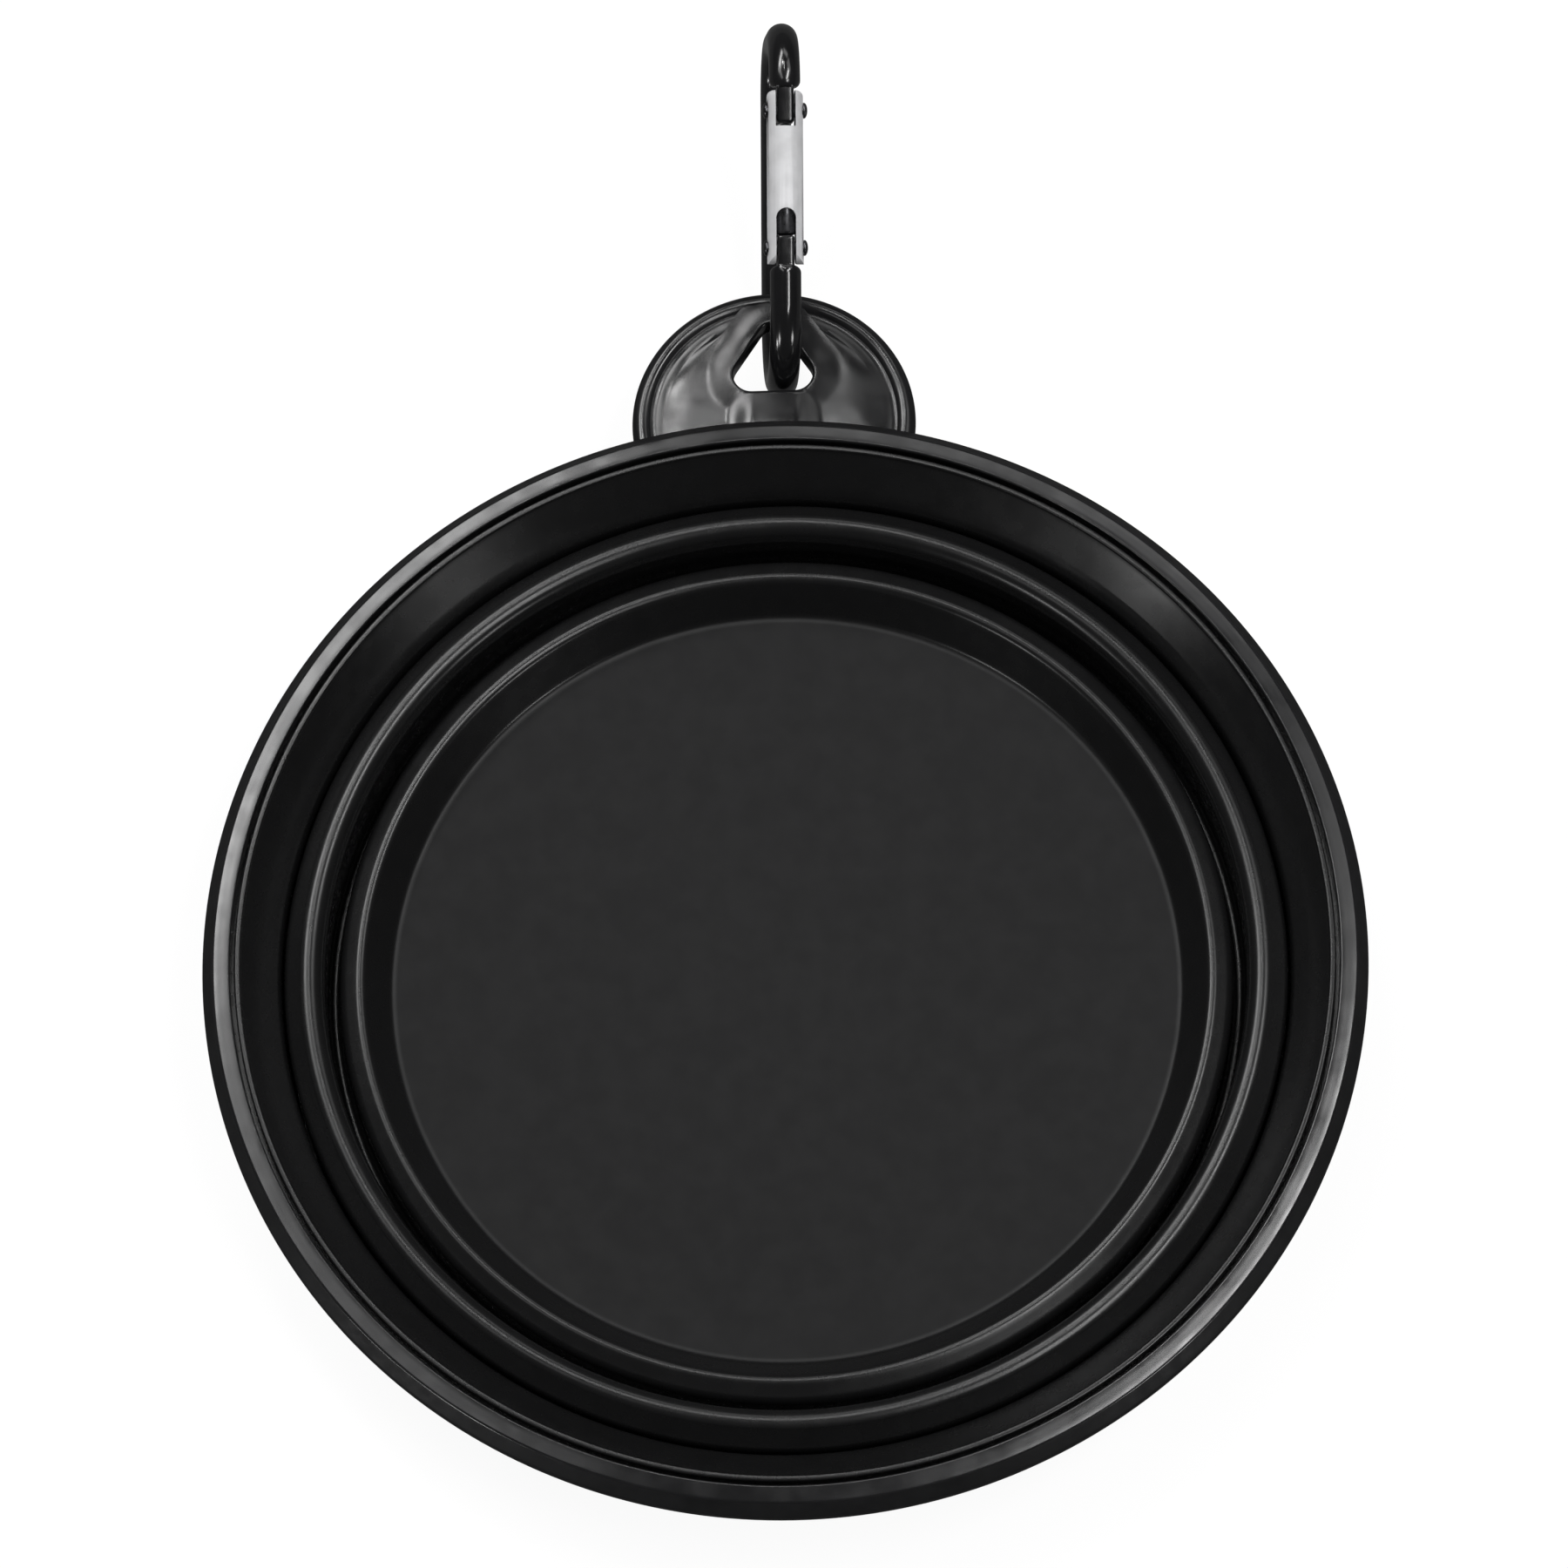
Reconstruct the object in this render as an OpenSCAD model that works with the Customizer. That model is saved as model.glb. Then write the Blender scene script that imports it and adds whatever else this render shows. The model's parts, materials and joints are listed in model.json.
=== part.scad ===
// Collapsible bowl of black silicone, folded flat, with a hard rim frame that carries a hanging tab, and a
// small snap clip through the tab. Millimetres, +Z up. The origin is the centre of the foot ring's underside,
// and the tab points to +Y.

/* [Bowl] */
// Diameter over the lip of the rim frame
rim_d = 130; // [122:1:142]
// Height of the folded bowl, from the table to the top of the rim
folded_h = 16; // [15.4:0.1:18]
// Wall of the three stiff tiers
tier_t = 1.6; // [1.3:0.05:1.8]
// Wall of the thin fold rings between the tiers
fold_t = 0.9; // [0.7:0.05:1.1]
// Wall of a tier where it thins down to meet a fold ring
hinge_t = 1.1; // [0.9:0.05:1.3]
// Height of the fold rings above the table
fold_clear = 0.8; // [0.4:0.1:1.2]

/* [Upper tier] */
// How far the lip's inner face stands inside the rim frame's outer edge
lip_inset = 4.4; // [4.2:0.05:4.8]
// Width of the upright lip beside the rim frame
lip_w = 0.7; // [0.5:0.05:0.9]
// How far the lip stays below the top of the rim frame
lip_drop = 0.3; // [0.1:0.05:0.6]
// Radial run of the upper wall's sloping face
upper_run = 3.95; // [3.2:0.05:4.6]
// Depth of the first fold line below the top of the rim frame
fold_line_drop = 6.3; // [5.6:0.1:7]
// Width of the closed slot between the upper wall and its fold ring
upper_slot = 0.35; // [0.3:0.05:0.5]

/* [Middle tier] */
// Radial run of the ledge from its fold ring to the middle wall
ledge_run = 3.35; // [3:0.05:4.2]
// Rise of the ledge from its fold ring to the corner over the middle wall
ledge_rise = 2.6; // [2.2:0.1:3]
// Centreline radius of the round crest over the middle wall
crest_r = 0.9; // [0.85:0.05:1.1]

/* [Base cup] */
// Width of the open gap inside the middle wall
lower_gap = 1.4; // [1.2:0.05:2]
// Radial run of the shoulder over the lower fold ring
shoulder_run = 1.55; // [1.4:0.05:2.2]
// Depth of the shoulder's inner corner below the top of the rim frame
shoulder_drop = 8.05; // [7.6:0.05:8.6]
// Fall of the shoulder from its inner corner to the lower fold ring
shoulder_fall = 0.8; // [0.4:0.05:0.9]
// Lean of the base wall away from upright, in degrees
base_lean = 30; // [22:1:34]
// Height of the floor inside the bowl above the table
floor_z = 3.6; // [3.2:0.1:4.2]
// Thickness of the floor
floor_t = 1.9; // [1.4:0.1:2.2]
// How far the foot ring stands inside the lower edge of the base wall
foot_inset = 2.6; // [2.4:0.1:8]
// Width of the foot ring
foot_w = 3; // [2:0.5:6]

/* [Rim frame] */
// Width of the dark groove between the lip and the rim frame
groove_w = 0.45; // [0.3:0.05:0.6]
// Width of the flat top band
band_w = 1.9; // [1.6:0.05:2.2]
// Thickness of the rim frame over the flange of the silicone
band_t = 2.6; // [2.4:0.05:3]
// Thickness of the silicone flange that the rim frame holds
flange_t = 1.4; // [1.2:0.05:1.6]
// How far the flange reaches out under the top band
flange_w = 1.05; // [0.8:0.05:1.1]
// Height of the rim frame, from its top to the bottom of its skirt
frame_h = 6.4; // [6:0.1:7]
// How far the outer lip stands out past the skirt
lip_over = 1.2; // [0.9:0.05:1.3]

/* [Tab] */
// Radius of the half round tab
tab_r = 16.4; // [15.5:0.1:18]
// How far the centre of the tab's arc stands outside the rim frame's edge
tab_out = 0.65; // [0.3:0.05:1.5]
// Depth of the tab's middle plane below the top of the rim frame
tab_drop = 4; // [3.8:0.05:4.4]
// Thickness of the round bead along the tab's edge
bead_d = 2.4; // [2:0.1:2.8]
// Thickness of the tab's panel
panel_t = 1.8; // [1.4:0.1:2]
// Width of the bar between the hole and the tab's outer edge
bar_w = 4.25; // [3.8:0.05:4.8]
// Width of the three sided hole along its base, corner to corner before rounding
hole_base = 13; // [12.6:0.1:14]
// Height of the three sided hole, corner to corner before rounding
hole_h = 9.9; // [9.4:0.1:10.4]

/* [Clip] */
// Diameter of the clip's rod
rod_d = 3.6; // [3.3:0.05:3.7]
// Gap between the clip's bow and the base of the hole
bow_clear = 0.6; // [0.4:0.05:1]
// Distance from the swing axis to the hinge pin of the gate
hinge_at = 6.7; // [6.5:0.1:9]
// Distance from the hinge pin to the latch pin
pin_span = 15.8; // [15:0.1:19]
// Centreline radius of the two top corners
corner_r = 6; // [4:0.1:6.5]
// Diameter of the gate
gate_d = 4.2; // [4.1:0.05:4.4]
// Diameter of the two pins
pin_d = 1.6; // [1.4:0.05:1.8]
// Bore of the gate for its spring and plunger
bore_d = 2.7; // [2.6:0.05:2.9]
// Wire of the gate's spring
wire_d = 0.3; // [0.25:0.05:0.35]
// Turns of the gate's spring
turns = 9; // [5:1:9]
// Upward tilt of the clip as it is pictured, in degrees
clip_tilt = 21.8; // [0:0.2:40]
// Turn of the clip about its own length, in degrees
clip_turn = 5; // [0:0.5:6]
// Sideways lean of the clip, in degrees
clip_lean = 1.3; // [0:0.1:2]
// Sideways place of the clip in the hole
clip_x = 1.1; // [0:0.1:1.2]

/* [Hidden] */
$fn = 96;
// Largest angle between two neighbouring points of a rounded corner, in degrees
arc_step = 12;
// Extra length of a cut past the face that it opens
overrun = 1;

// Rounding of small edges on the silicone, on the rim frame, and of the floor into the wall
soft_edge = 0.3;
frame_edge = 0.4;
shoulder_edge = 0.8;
floor_edge = 1;
foot_edge = 0.5;
heel_edge = 2;
wall_bend = 2.5;

// Heights and radii down the silicone wall, from the rim to the floor
rim_r = rim_d / 2;
lip_r = rim_r - lip_inset;
lip_z = folded_h - lip_drop;
flange_top = folded_h - band_t;
flange_z = flange_top - flange_t;
upper_r = lip_r - upper_run;
fold_line_z = folded_h - fold_line_drop;
lip_foot_z = lip_z - soft_edge;
wall_slope = upper_run / (lip_foot_z - fold_line_z);
slope_w = tier_t * sqrt(1 + wall_slope * wall_slope);
upper_fold_r = upper_r - upper_slot - fold_t / 2;
ledge_z = fold_line_z - soft_edge;
middle_r = upper_fold_r - ledge_run;
lower_fold_r = middle_r - tier_t / 2 - lower_gap - fold_t / 2;
shoulder_z = folded_h - shoulder_drop;
shoulder_r = lower_fold_r - shoulder_run;
upper_hinge_r = upper_r + hinge_t / 2;
fold_low_z = fold_clear + hinge_t / 2;

// Level planes where the stiff tiers end and the fold rings begin
upper_bend_r = (upper_hinge_r - upper_fold_r) / 2;
lower_bend_r = (middle_r - lower_fold_r) / 2;
upper_cut_z = fold_low_z + upper_bend_r + hinge_t;
lower_cut_z = fold_low_z + lower_bend_r + hinge_t / 2;
crest_cut_z = ledge_z + ledge_rise - crest_r / tan(atan(ledge_run / ledge_rise) / 2) - hinge_t / 2;
base_cut_z = shoulder_z - crest_r - hinge_t / 2;

// Rim frame
band_r = lip_r + lip_w + groove_w;
flange_r = band_r + flange_w;
flange_gap = 0.15;
skirt_r = rim_r - lip_over;
skirt_z = folded_h - frame_h;
skirt_draft = 0.2;
skirt_t = 1.2;
band_fall = 0.3;
slope_drop = 1.9;
lip_h = 2.9;
lip_under = 0.4;
rib_in = 0.2;
rib_h = 1.2;

// Tab
tab_y = rim_r + tab_out;
tab_z = folded_h - tab_drop;
tab_root_r = (flange_r + flange_gap + skirt_r) / 2;
hole_corner_r = 2.2;
hole_tip_r = 1.6;
hole_tip_half = atan(hole_base / 2 / hole_h);
hole_tip_y = tab_y + tab_r - bar_w + hole_tip_r / sin(hole_tip_half) - hole_tip_r;
hole_base_y = hole_tip_y - hole_h;
collar_w = 0.5;
collar_flank = 1.5;
collar_h = 0.7;
collar_skin = 0.05;
saddle_w = 8.6;
saddle_h = 0.7;
saddle_bump = 0.8;
saddle_bump_r = 2.4;
bar_y = tab_y + tab_r - bar_w / 2;

// Clip, drawn flat: x runs along its length from the swing axis, y towards the gate and z across it
bow_r = bar_y - hole_base_y - rod_d / 2 - bow_clear;
latch_at = hinge_at + pin_span;
gate_over = 2.3;
gate_end = latch_at + gate_over;
nose_gap = 0.3;
nose_at = gate_end + nose_gap;
nose_l = 0.3;
corner_at = nose_at + nose_l;
corner_y = bow_r - corner_r;
tongue_w = 2;
tongue_inset = 0.1;
tongue_h = sqrt(rod_d * rod_d - tongue_w * tongue_w) - tongue_inset;
tongue_edge = 0.4;
tongue_clear = 0.15;
slot_w = tongue_w + 2 * tongue_clear;
run_clear = 0.05;
notch_clear = 0.12;
latch_tongue_l = 1.5;
latch_slot_clear = 0.4;
cam_flat = 1.45;
knuckle_r = 1.9;
knuckle_clear = 0.2;
slot_reach = 4.5;
bore_wall = 0.8;
pin_proud = 0.5;
pin_edge = 0.35;
seat_gap = 0.05;
plunger_l = 3.6;
spigot_d = 1.2;
spigot_l = 0.8;
bore_end = latch_at - latch_tongue_l - latch_slot_clear - bore_wall;
plunger_at = hinge_at + cam_flat + seat_gap;
plunger_d = bore_d - 2 * run_clear;
spring_r = 1;
spring_from = plunger_at + plunger_l;
spring_l = bore_end - spring_from;
curl_rings = 8;
wire_sides = 6;

silicone = "#1d1d1e";
frame_black = "#151516";
anodised = "#131315";
bright_metal = "#c9cacc";
dark_steel = "#3b3c3f";

// Plane geometry for outlines
function unit(v) = v / norm(v);
function left(v) = [-v[1], v[0]];
function turned(v, a) = [v[0] * cos(a) - v[1] * sin(a), v[0] * sin(a) + v[1] * cos(a)];

// Points of the arc of radius r that rounds corner b between a and c, each with the unit vector to its left
function corner(a, b, c, r) =
    let (u = unit(b - a), w = unit(c - b), bend = atan2(u[0] * w[1] - u[1] * w[0], u * w),
        side = sign(bend),
        start = b - u * r * tan(abs(bend) / 2), centre = start + left(u) * r * side,
        steps = max(1, ceil(abs(bend) / arc_step)))
    r == 0 || side == 0
        ? [[b, left(unit(u + w)) / cos(bend / 2)]]
        : [for (k = [0 : steps]) let (n = turned(left(u), bend * k / steps)) [centre - n * r * side, n]];

// Closed outline through the points p, each corner rounded by its own radius
function rounded(p, radii) =
    let (n = len(p))
    [for (i = [0 : n - 1]) each [for (e = corner(p[(i + n - 1) % n], p[i], p[(i + 1) % n], radii[i])) e[0]]];

// Centreline of a bent sheet: its ends, and each inner corner rounded, as [point, left normal, thickness]
function bent(p, radii, t) =
    let (n = len(p))
    [for (i = [0 : n - 1])
        each i == 0 ? [[p[0], left(unit(p[1] - p[0])), t[0]]]
            : i == n - 1 ? [[p[i], left(unit(p[i] - p[i - 1])), t[i]]]
            : [for (e = corner(p[i - 1], p[i], p[i + 1], radii[i])) [e[0], e[1], t[i]]]];

// Outline of a sheet whose thickness is spread evenly on both sides of its centreline
function side(line, half) = [for (e = line) e[0] + e[1] * e[2] * half];
function backwards(list) = [for (i = [1 : len(list)]) list[len(list) - i]];
function sheet(line) = concat(side(line, 1 / 2), backwards(side(line, -1 / 2)));

// Sum of a list, and length of a centreline
function sum(list, i = 0) = i < len(list) ? list[i] + sum(list, i + 1) : 0;
function run_length(line) = sum([for (i = [1 : len(line) - 1]) norm(line[i][0] - line[i - 1][0])]);

// Half width of the base wall, measured level, and the radius of its centreline at height z
base_half = tier_t / 2 / cos(base_lean);
function base_r(z) = shoulder_r - (shoulder_z - z) * tan(base_lean);

// The two fold rings, each from the tier outside it, round its low bend, up and over to the tier inside it
upper_fold_line = bent(
    [[upper_hinge_r, upper_cut_z], [upper_hinge_r, fold_low_z], [upper_fold_r, fold_low_z],
        [upper_fold_r, ledge_z], [middle_r, ledge_z + ledge_rise], [middle_r, crest_cut_z]],
    [0, upper_bend_r, upper_bend_r, crest_r, crest_r, 0],
    [hinge_t, hinge_t, fold_t, fold_t, (fold_t + tier_t) / 2, tier_t]);
lower_fold_line = bent(
    [[middle_r, lower_cut_z], [middle_r, fold_low_z], [lower_fold_r, fold_low_z],
        [lower_fold_r, shoulder_z - shoulder_fall], [shoulder_r, shoulder_z],
        [base_r(base_cut_z - tier_t), base_cut_z - tier_t]],
    [0, lower_bend_r, lower_bend_r, crest_r, crest_r, 0],
    [hinge_t, hinge_t, fold_t, fold_t, (fold_t + tier_t) / 2, tier_t]);

// How far each fold ring lets its outer tier rise when it is pulled straight, without any stretch
function travel(length, run, rise) = sqrt(length * length - run * run) + rise;
upper_travel = travel(run_length(upper_fold_line), upper_hinge_r - middle_r, crest_cut_z - upper_cut_z);
lower_travel = travel(run_length(lower_fold_line) - tier_t / cos(base_lean), middle_r - base_r(base_cut_z),
    base_cut_z - lower_cut_z);
echo(upper_travel = upper_travel, lower_travel = lower_travel,
    height_unfolded = folded_h + upper_travel + lower_travel);

// Silicone moulding

module silicone_upper_wall() {
    outer_at_flange = upper_r + (flange_z - fold_line_z) * wall_slope + slope_w;
    outer_bend_z = fold_line_z - (slope_w - tier_t) / wall_slope;
    color(silicone) rotate_extrude() polygon(rounded(
        [[upper_r, upper_cut_z], [upper_r + hinge_t, upper_cut_z], [upper_r + tier_t, outer_bend_z],
            [outer_at_flange, flange_z], [flange_r, flange_z], [flange_r, flange_top],
            [lip_r + lip_w, flange_top], [lip_r + lip_w, lip_z], [lip_r, lip_z], [lip_r, lip_foot_z],
            [upper_r, fold_line_z]],
        [0, 0, wall_bend, soft_edge, 0, 0, 0, soft_edge, soft_edge / 2, 0, wall_bend]));
}

module silicone_upper_fold() {
    color(silicone) rotate_extrude() polygon(sheet(upper_fold_line));
}

module silicone_middle_wall() {
    color(silicone) rotate_extrude() polygon(
        [[middle_r - hinge_t / 2, lower_cut_z], [middle_r + hinge_t / 2, lower_cut_z],
            [middle_r + tier_t / 2, crest_cut_z], [middle_r - tier_t / 2, crest_cut_z]]);
}

module silicone_lower_fold() {
    color(silicone) rotate_extrude() difference() {
        polygon(sheet(lower_fold_line));
        square([lower_fold_r - fold_t, base_cut_z]);
    }
}

module silicone_base_cup() {
    under_z = floor_z - floor_t;
    foot_r = base_r(under_z) + base_half - foot_inset;
    color(silicone) rotate_extrude() polygon(rounded(
        [[0, under_z], [foot_r - foot_w, under_z], [foot_r - foot_w, 0], [foot_r, 0], [foot_r, under_z],
            [base_r(under_z) + base_half, under_z], [base_r(base_cut_z) + base_half, base_cut_z],
            [base_r(base_cut_z) - base_half, base_cut_z], [base_r(floor_z) - base_half, floor_z],
            [0, floor_z]],
        [0, foot_edge, foot_edge, foot_edge, foot_edge, heel_edge, 0, 0, floor_edge, 0]));
}

// Rim frame with its tab

module frame_ring() {
    skirt_in = skirt_r - skirt_draft - skirt_t;
    rib_r = band_r + rib_in;
    rotate_extrude() polygon(rounded(
        [[band_r, folded_h], [band_r, flange_top], [flange_r + flange_gap, flange_top],
            [flange_r + flange_gap, flange_z], [rib_r, flange_z], [rib_r, flange_z - rib_h],
            [skirt_in, flange_z - rib_h - frame_edge], [skirt_in, skirt_z], [skirt_r - skirt_draft, skirt_z],
            [skirt_r, folded_h - lip_h - lip_under], [rim_r, folded_h - lip_h],
            [rim_r, folded_h - slope_drop], [band_r + band_w, folded_h - band_fall]],
        [frame_edge / 2, 0, 0, 0, 0, frame_edge / 2, frame_edge / 2, frame_edge, frame_edge, frame_edge,
            frame_edge, shoulder_edge, frame_edge]));
}

// Outline of the three sided hole, grown outwards by an even width
function hole_outline(grow) =
    let (half = hole_base / 2 + grow / tan((90 - hole_tip_half) / 2),
        tip = hole_tip_y + grow / sin(hole_tip_half))
    rounded([[-half, hole_base_y - grow], [half, hole_base_y - grow], [0, tip]],
        [hole_corner_r + grow, hole_corner_r + grow, hole_tip_r + grow]);

// Raised collar round the hole on both faces, with sloping flanks
module collar() {
    hull() {
        for (side = [-1, 1]) translate([0, 0, tab_z + side * (panel_t / 2 + collar_h - collar_skin / 2)])
            linear_extrude(collar_skin, center = true) polygon(hole_outline(collar_w));
        translate([0, 0, tab_z]) linear_extrude(panel_t, center = true)
            polygon(hole_outline(collar_w + collar_flank));
    }
}

// Raised saddle from the hole to the rim frame, with a round bump along its middle
module saddle() {
    top = tab_z + panel_t / 2 + saddle_h;
    translate([-saddle_w / 2, 0, tab_z]) cube([saddle_w, hole_base_y, top - tab_z]);
    translate([0, 0, top + saddle_bump - saddle_bump_r]) rotate([-90, 0, 0])
        cylinder(r = saddle_bump_r, h = hole_base_y);
}

module tab() {
    difference() {
        union() {
            translate([0, tab_y, tab_z - panel_t / 2]) cylinder(r = tab_r - bead_d / 2, h = panel_t);
            translate([0, tab_y, tab_z]) rotate_extrude()
                translate([tab_r - bead_d / 2, 0]) circle(d = bead_d);
            collar();
            saddle();
        }
        translate([0, 0, tab_z - panel_t - collar_h]) linear_extrude(2 * (panel_t + collar_h))
            polygon(hole_outline(0));
        cylinder(r = tab_root_r, h = folded_h + overrun);
    }
}

module rim_frame() {
    color(frame_black) union() {
        frame_ring();
        tab();
    }
}

// Clip

// Carries the flat drawing of the clip to its place in the tab's hole
module in_tab() {
    translate([clip_x, bar_y, tab_z]) rotate([0, 0, -clip_lean]) rotate([clip_tilt, 0, 0])
        rotate([0, clip_turn, 0]) rotate(120, [1, 1, 1]) children();
}

// Round bar along x from one place to another
module bar_x(from, to, y, d) {
    translate([from, y, 0]) rotate([0, 90, 0]) cylinder(d = d, h = to - from);
}

module rod_bend(r, start, sweep) {
    rotate(start) rotate_extrude(angle = sweep) translate([r, 0]) circle(d = rod_d);
}

// Flat tongue of the rod's end, centred on the gate's line
module tongue(from, to) {
    half = tongue_h / 2;
    translate([0, bow_r, -tongue_w / 2]) linear_extrude(tongue_w) polygon(rounded(
        [[from, -half], [to, -half], [to, half], [from, half]], [0, tongue_edge, tongue_edge, 0]));
}

module clip_body() {
    notch_d = pin_d + 2 * notch_clear;
    color(anodised) in_tab() difference() {
        union() {
            rod_bend(bow_r, 90, 180);
            bar_x(0, corner_at, -bow_r, rod_d);
            translate([corner_at, -corner_y, 0]) rod_bend(corner_r, -90, 90);
            for (side = [-1, 1])
                translate([corner_at + corner_r, 0, 0]) rotate([90 * side, 0, 0])
                    cylinder(d = rod_d, h = corner_y);
            translate([corner_at, corner_y, 0]) rod_bend(corner_r, 0, 90);
            bar_x(nose_at, corner_at, bow_r, rod_d);
            tongue(nose_at + nose_l / 2, latch_at - latch_tongue_l);
            difference() {
                bar_x(0, hinge_at, bow_r, rod_d);
                translate([hinge_at, bow_r, -rod_d]) cylinder(r = knuckle_r + knuckle_clear, h = 2 * rod_d);
            }
            tongue(hinge_at / 2, hinge_at + cam_flat);
        }
        translate([hinge_at, bow_r, -rod_d]) cylinder(d = pin_d + 2 * run_clear, h = 2 * rod_d);
        translate([latch_at, bow_r, -rod_d]) cylinder(d = notch_d, h = 2 * rod_d);
        translate([latch_at - notch_d / 2, bow_r - rod_d, -rod_d]) cube([notch_d, rod_d, 2 * rod_d]);
    }
}

module clip_gate() {
    slot_end = hinge_at + slot_reach - slot_w / 2;
    latch_slot = latch_at - latch_tongue_l - latch_slot_clear;
    color(bright_metal) in_tab() difference() {
        union() {
            bar_x(hinge_at, gate_end, bow_r, gate_d);
            intersection() {
                bar_x(hinge_at - knuckle_r, hinge_at, bow_r, gate_d);
                translate([hinge_at, bow_r, -gate_d]) cylinder(r = knuckle_r, h = 2 * gate_d);
            }
        }
        bar_x(hinge_at, bore_end, bow_r, bore_d);
        translate([hinge_at - gate_d, bow_r - gate_d, -slot_w / 2])
            cube([slot_end - hinge_at + gate_d, 2 * gate_d, slot_w]);
        translate([slot_end, bow_r - gate_d, 0]) rotate([-90, 0, 0]) cylinder(d = slot_w, h = 2 * gate_d);
        translate([latch_slot, bow_r - gate_d, -slot_w / 2]) cube([gate_end, 2 * gate_d, slot_w]);
        for (at = [hinge_at, latch_at]) translate([at, bow_r, -gate_d]) cylinder(d = pin_d, h = 2 * gate_d);
    }
}

module pin(at) {
    half = gate_d / 2 + pin_proud;
    color(dark_steel) in_tab() translate([at, bow_r, 0]) rotate_extrude() polygon(rounded(
        [[0, -half], [pin_d / 2, -half], [pin_d / 2, half], [0, half]], [0, pin_edge, pin_edge, 0]));
}

module gate_hinge_pin() {
    pin(hinge_at);
}

module gate_latch_pin() {
    pin(latch_at);
}

module spring_plunger() {
    color(dark_steel) in_tab() translate([plunger_at, bow_r, 0]) rotate([0, 90, 0]) rotate_extrude()
        polygon(rounded(
            [[0, 0], [plunger_d / 2, 0], [plunger_d / 2, plunger_l], [spigot_d / 2, plunger_l],
                [spigot_d / 2, plunger_l + spigot_l], [0, plunger_l + spigot_l]],
            [0, pin_edge, 0, 0, 0, 0]));
}

// Centreline of the spring along x: one straight wire diameter at each end, square to what it meets, and
// between them the coil
spring_line = let (n = turns * curl_rings, coil_l = spring_l - 2 * wire_d)
    concat([[0, spring_r, 0]],
        [for (k = [0 : n]) let (a = 360 * k / curl_rings)
            [wire_d + coil_l * k / n, spring_r * cos(a), spring_r * sin(a)]],
        [[spring_l, spring_r, 0]]);

// Ring of the wire round point k, square to the mean of the runs that meet there
function wire_ring(k) =
    let (last = len(spring_line) - 1, p = spring_line[k],
        along = unit(spring_line[min(k + 1, last)] - spring_line[max(k - 1, 0)]),
        out = unit([0, p[1], p[2]]), across = unit(out - along * (out * along)), up = cross(along, across))
    [for (i = [0 : wire_sides - 1]) let (a = 360 * i / wire_sides)
        p + (across * cos(a) + up * sin(a)) * wire_d / 2];

spring_gap = min([for (i = [0 : len(spring_line) - 1])
    for (j = [i + curl_rings / 2 : 1 : len(spring_line) - 1])
        norm(spring_line[i] - spring_line[j]) - wire_d]);
echo(spring_gap = spring_gap);

module gate_spring() {
    rings = len(spring_line);
    m = wire_sides;
    points = [for (k = [0 : rings - 1]) each wire_ring(k)];
    sides = [for (k = [0 : rings - 2]) for (i = [0 : m - 1])
        let (a = k * m + i, b = k * m + (i + 1) % m)
        each [[a, b, b + m], [a, b + m, a + m]]];
    start = [for (i = [1 : m - 2]) [0, i + 1, i]];
    end = [for (i = [1 : m - 2]) [(rings - 1) * m, (rings - 1) * m + i, (rings - 1) * m + i + 1]];
    color(dark_steel) in_tab() translate([spring_from, bow_r, 0])
        polyhedron(points, concat(start, sides, end));
}

rim_frame();
silicone_upper_wall();
silicone_upper_fold();
silicone_middle_wall();
silicone_lower_fold();
silicone_base_cup();
clip_body();
clip_gate();
gate_hinge_pin();
gate_latch_pin();
gate_spring();
spring_plunger();
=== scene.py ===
"""Collapsible silicone bowl, folded flat, with its rim frame, hanging tab and snap clip.

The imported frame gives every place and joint. Each operator makes one piece or group of pieces around it.
"""

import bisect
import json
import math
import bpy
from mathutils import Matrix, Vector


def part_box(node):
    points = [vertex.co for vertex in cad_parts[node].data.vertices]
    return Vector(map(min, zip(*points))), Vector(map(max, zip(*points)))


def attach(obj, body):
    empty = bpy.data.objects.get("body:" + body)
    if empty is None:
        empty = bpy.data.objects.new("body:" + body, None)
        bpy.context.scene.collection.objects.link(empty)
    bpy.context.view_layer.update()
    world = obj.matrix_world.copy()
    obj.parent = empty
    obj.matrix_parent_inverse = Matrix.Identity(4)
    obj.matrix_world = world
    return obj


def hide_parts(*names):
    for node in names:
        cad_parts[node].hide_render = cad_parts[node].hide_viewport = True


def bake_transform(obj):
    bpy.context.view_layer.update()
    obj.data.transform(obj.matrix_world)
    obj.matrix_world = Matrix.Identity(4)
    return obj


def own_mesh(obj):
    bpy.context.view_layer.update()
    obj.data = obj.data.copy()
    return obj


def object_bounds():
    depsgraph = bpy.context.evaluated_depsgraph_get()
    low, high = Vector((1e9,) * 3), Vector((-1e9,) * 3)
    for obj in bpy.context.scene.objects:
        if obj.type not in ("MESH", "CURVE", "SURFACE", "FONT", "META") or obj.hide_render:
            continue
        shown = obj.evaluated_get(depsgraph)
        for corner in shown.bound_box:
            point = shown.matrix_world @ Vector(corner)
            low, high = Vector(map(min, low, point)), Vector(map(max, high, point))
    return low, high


bl_info = {
    "name": "Collapsible Bowl",
    "version": (1, 0, 0),
    "blender": (4, 5, 0),
    "location": "3D View > Sidebar > Bowl",
    "description": "Builds a folded silicone bowl with its rim frame, hanging tab and snap clip",
    "category": "Add Mesh",
}

from types import SimpleNamespace

import bmesh
import bpy
from mathutils import Matrix, Vector

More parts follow.
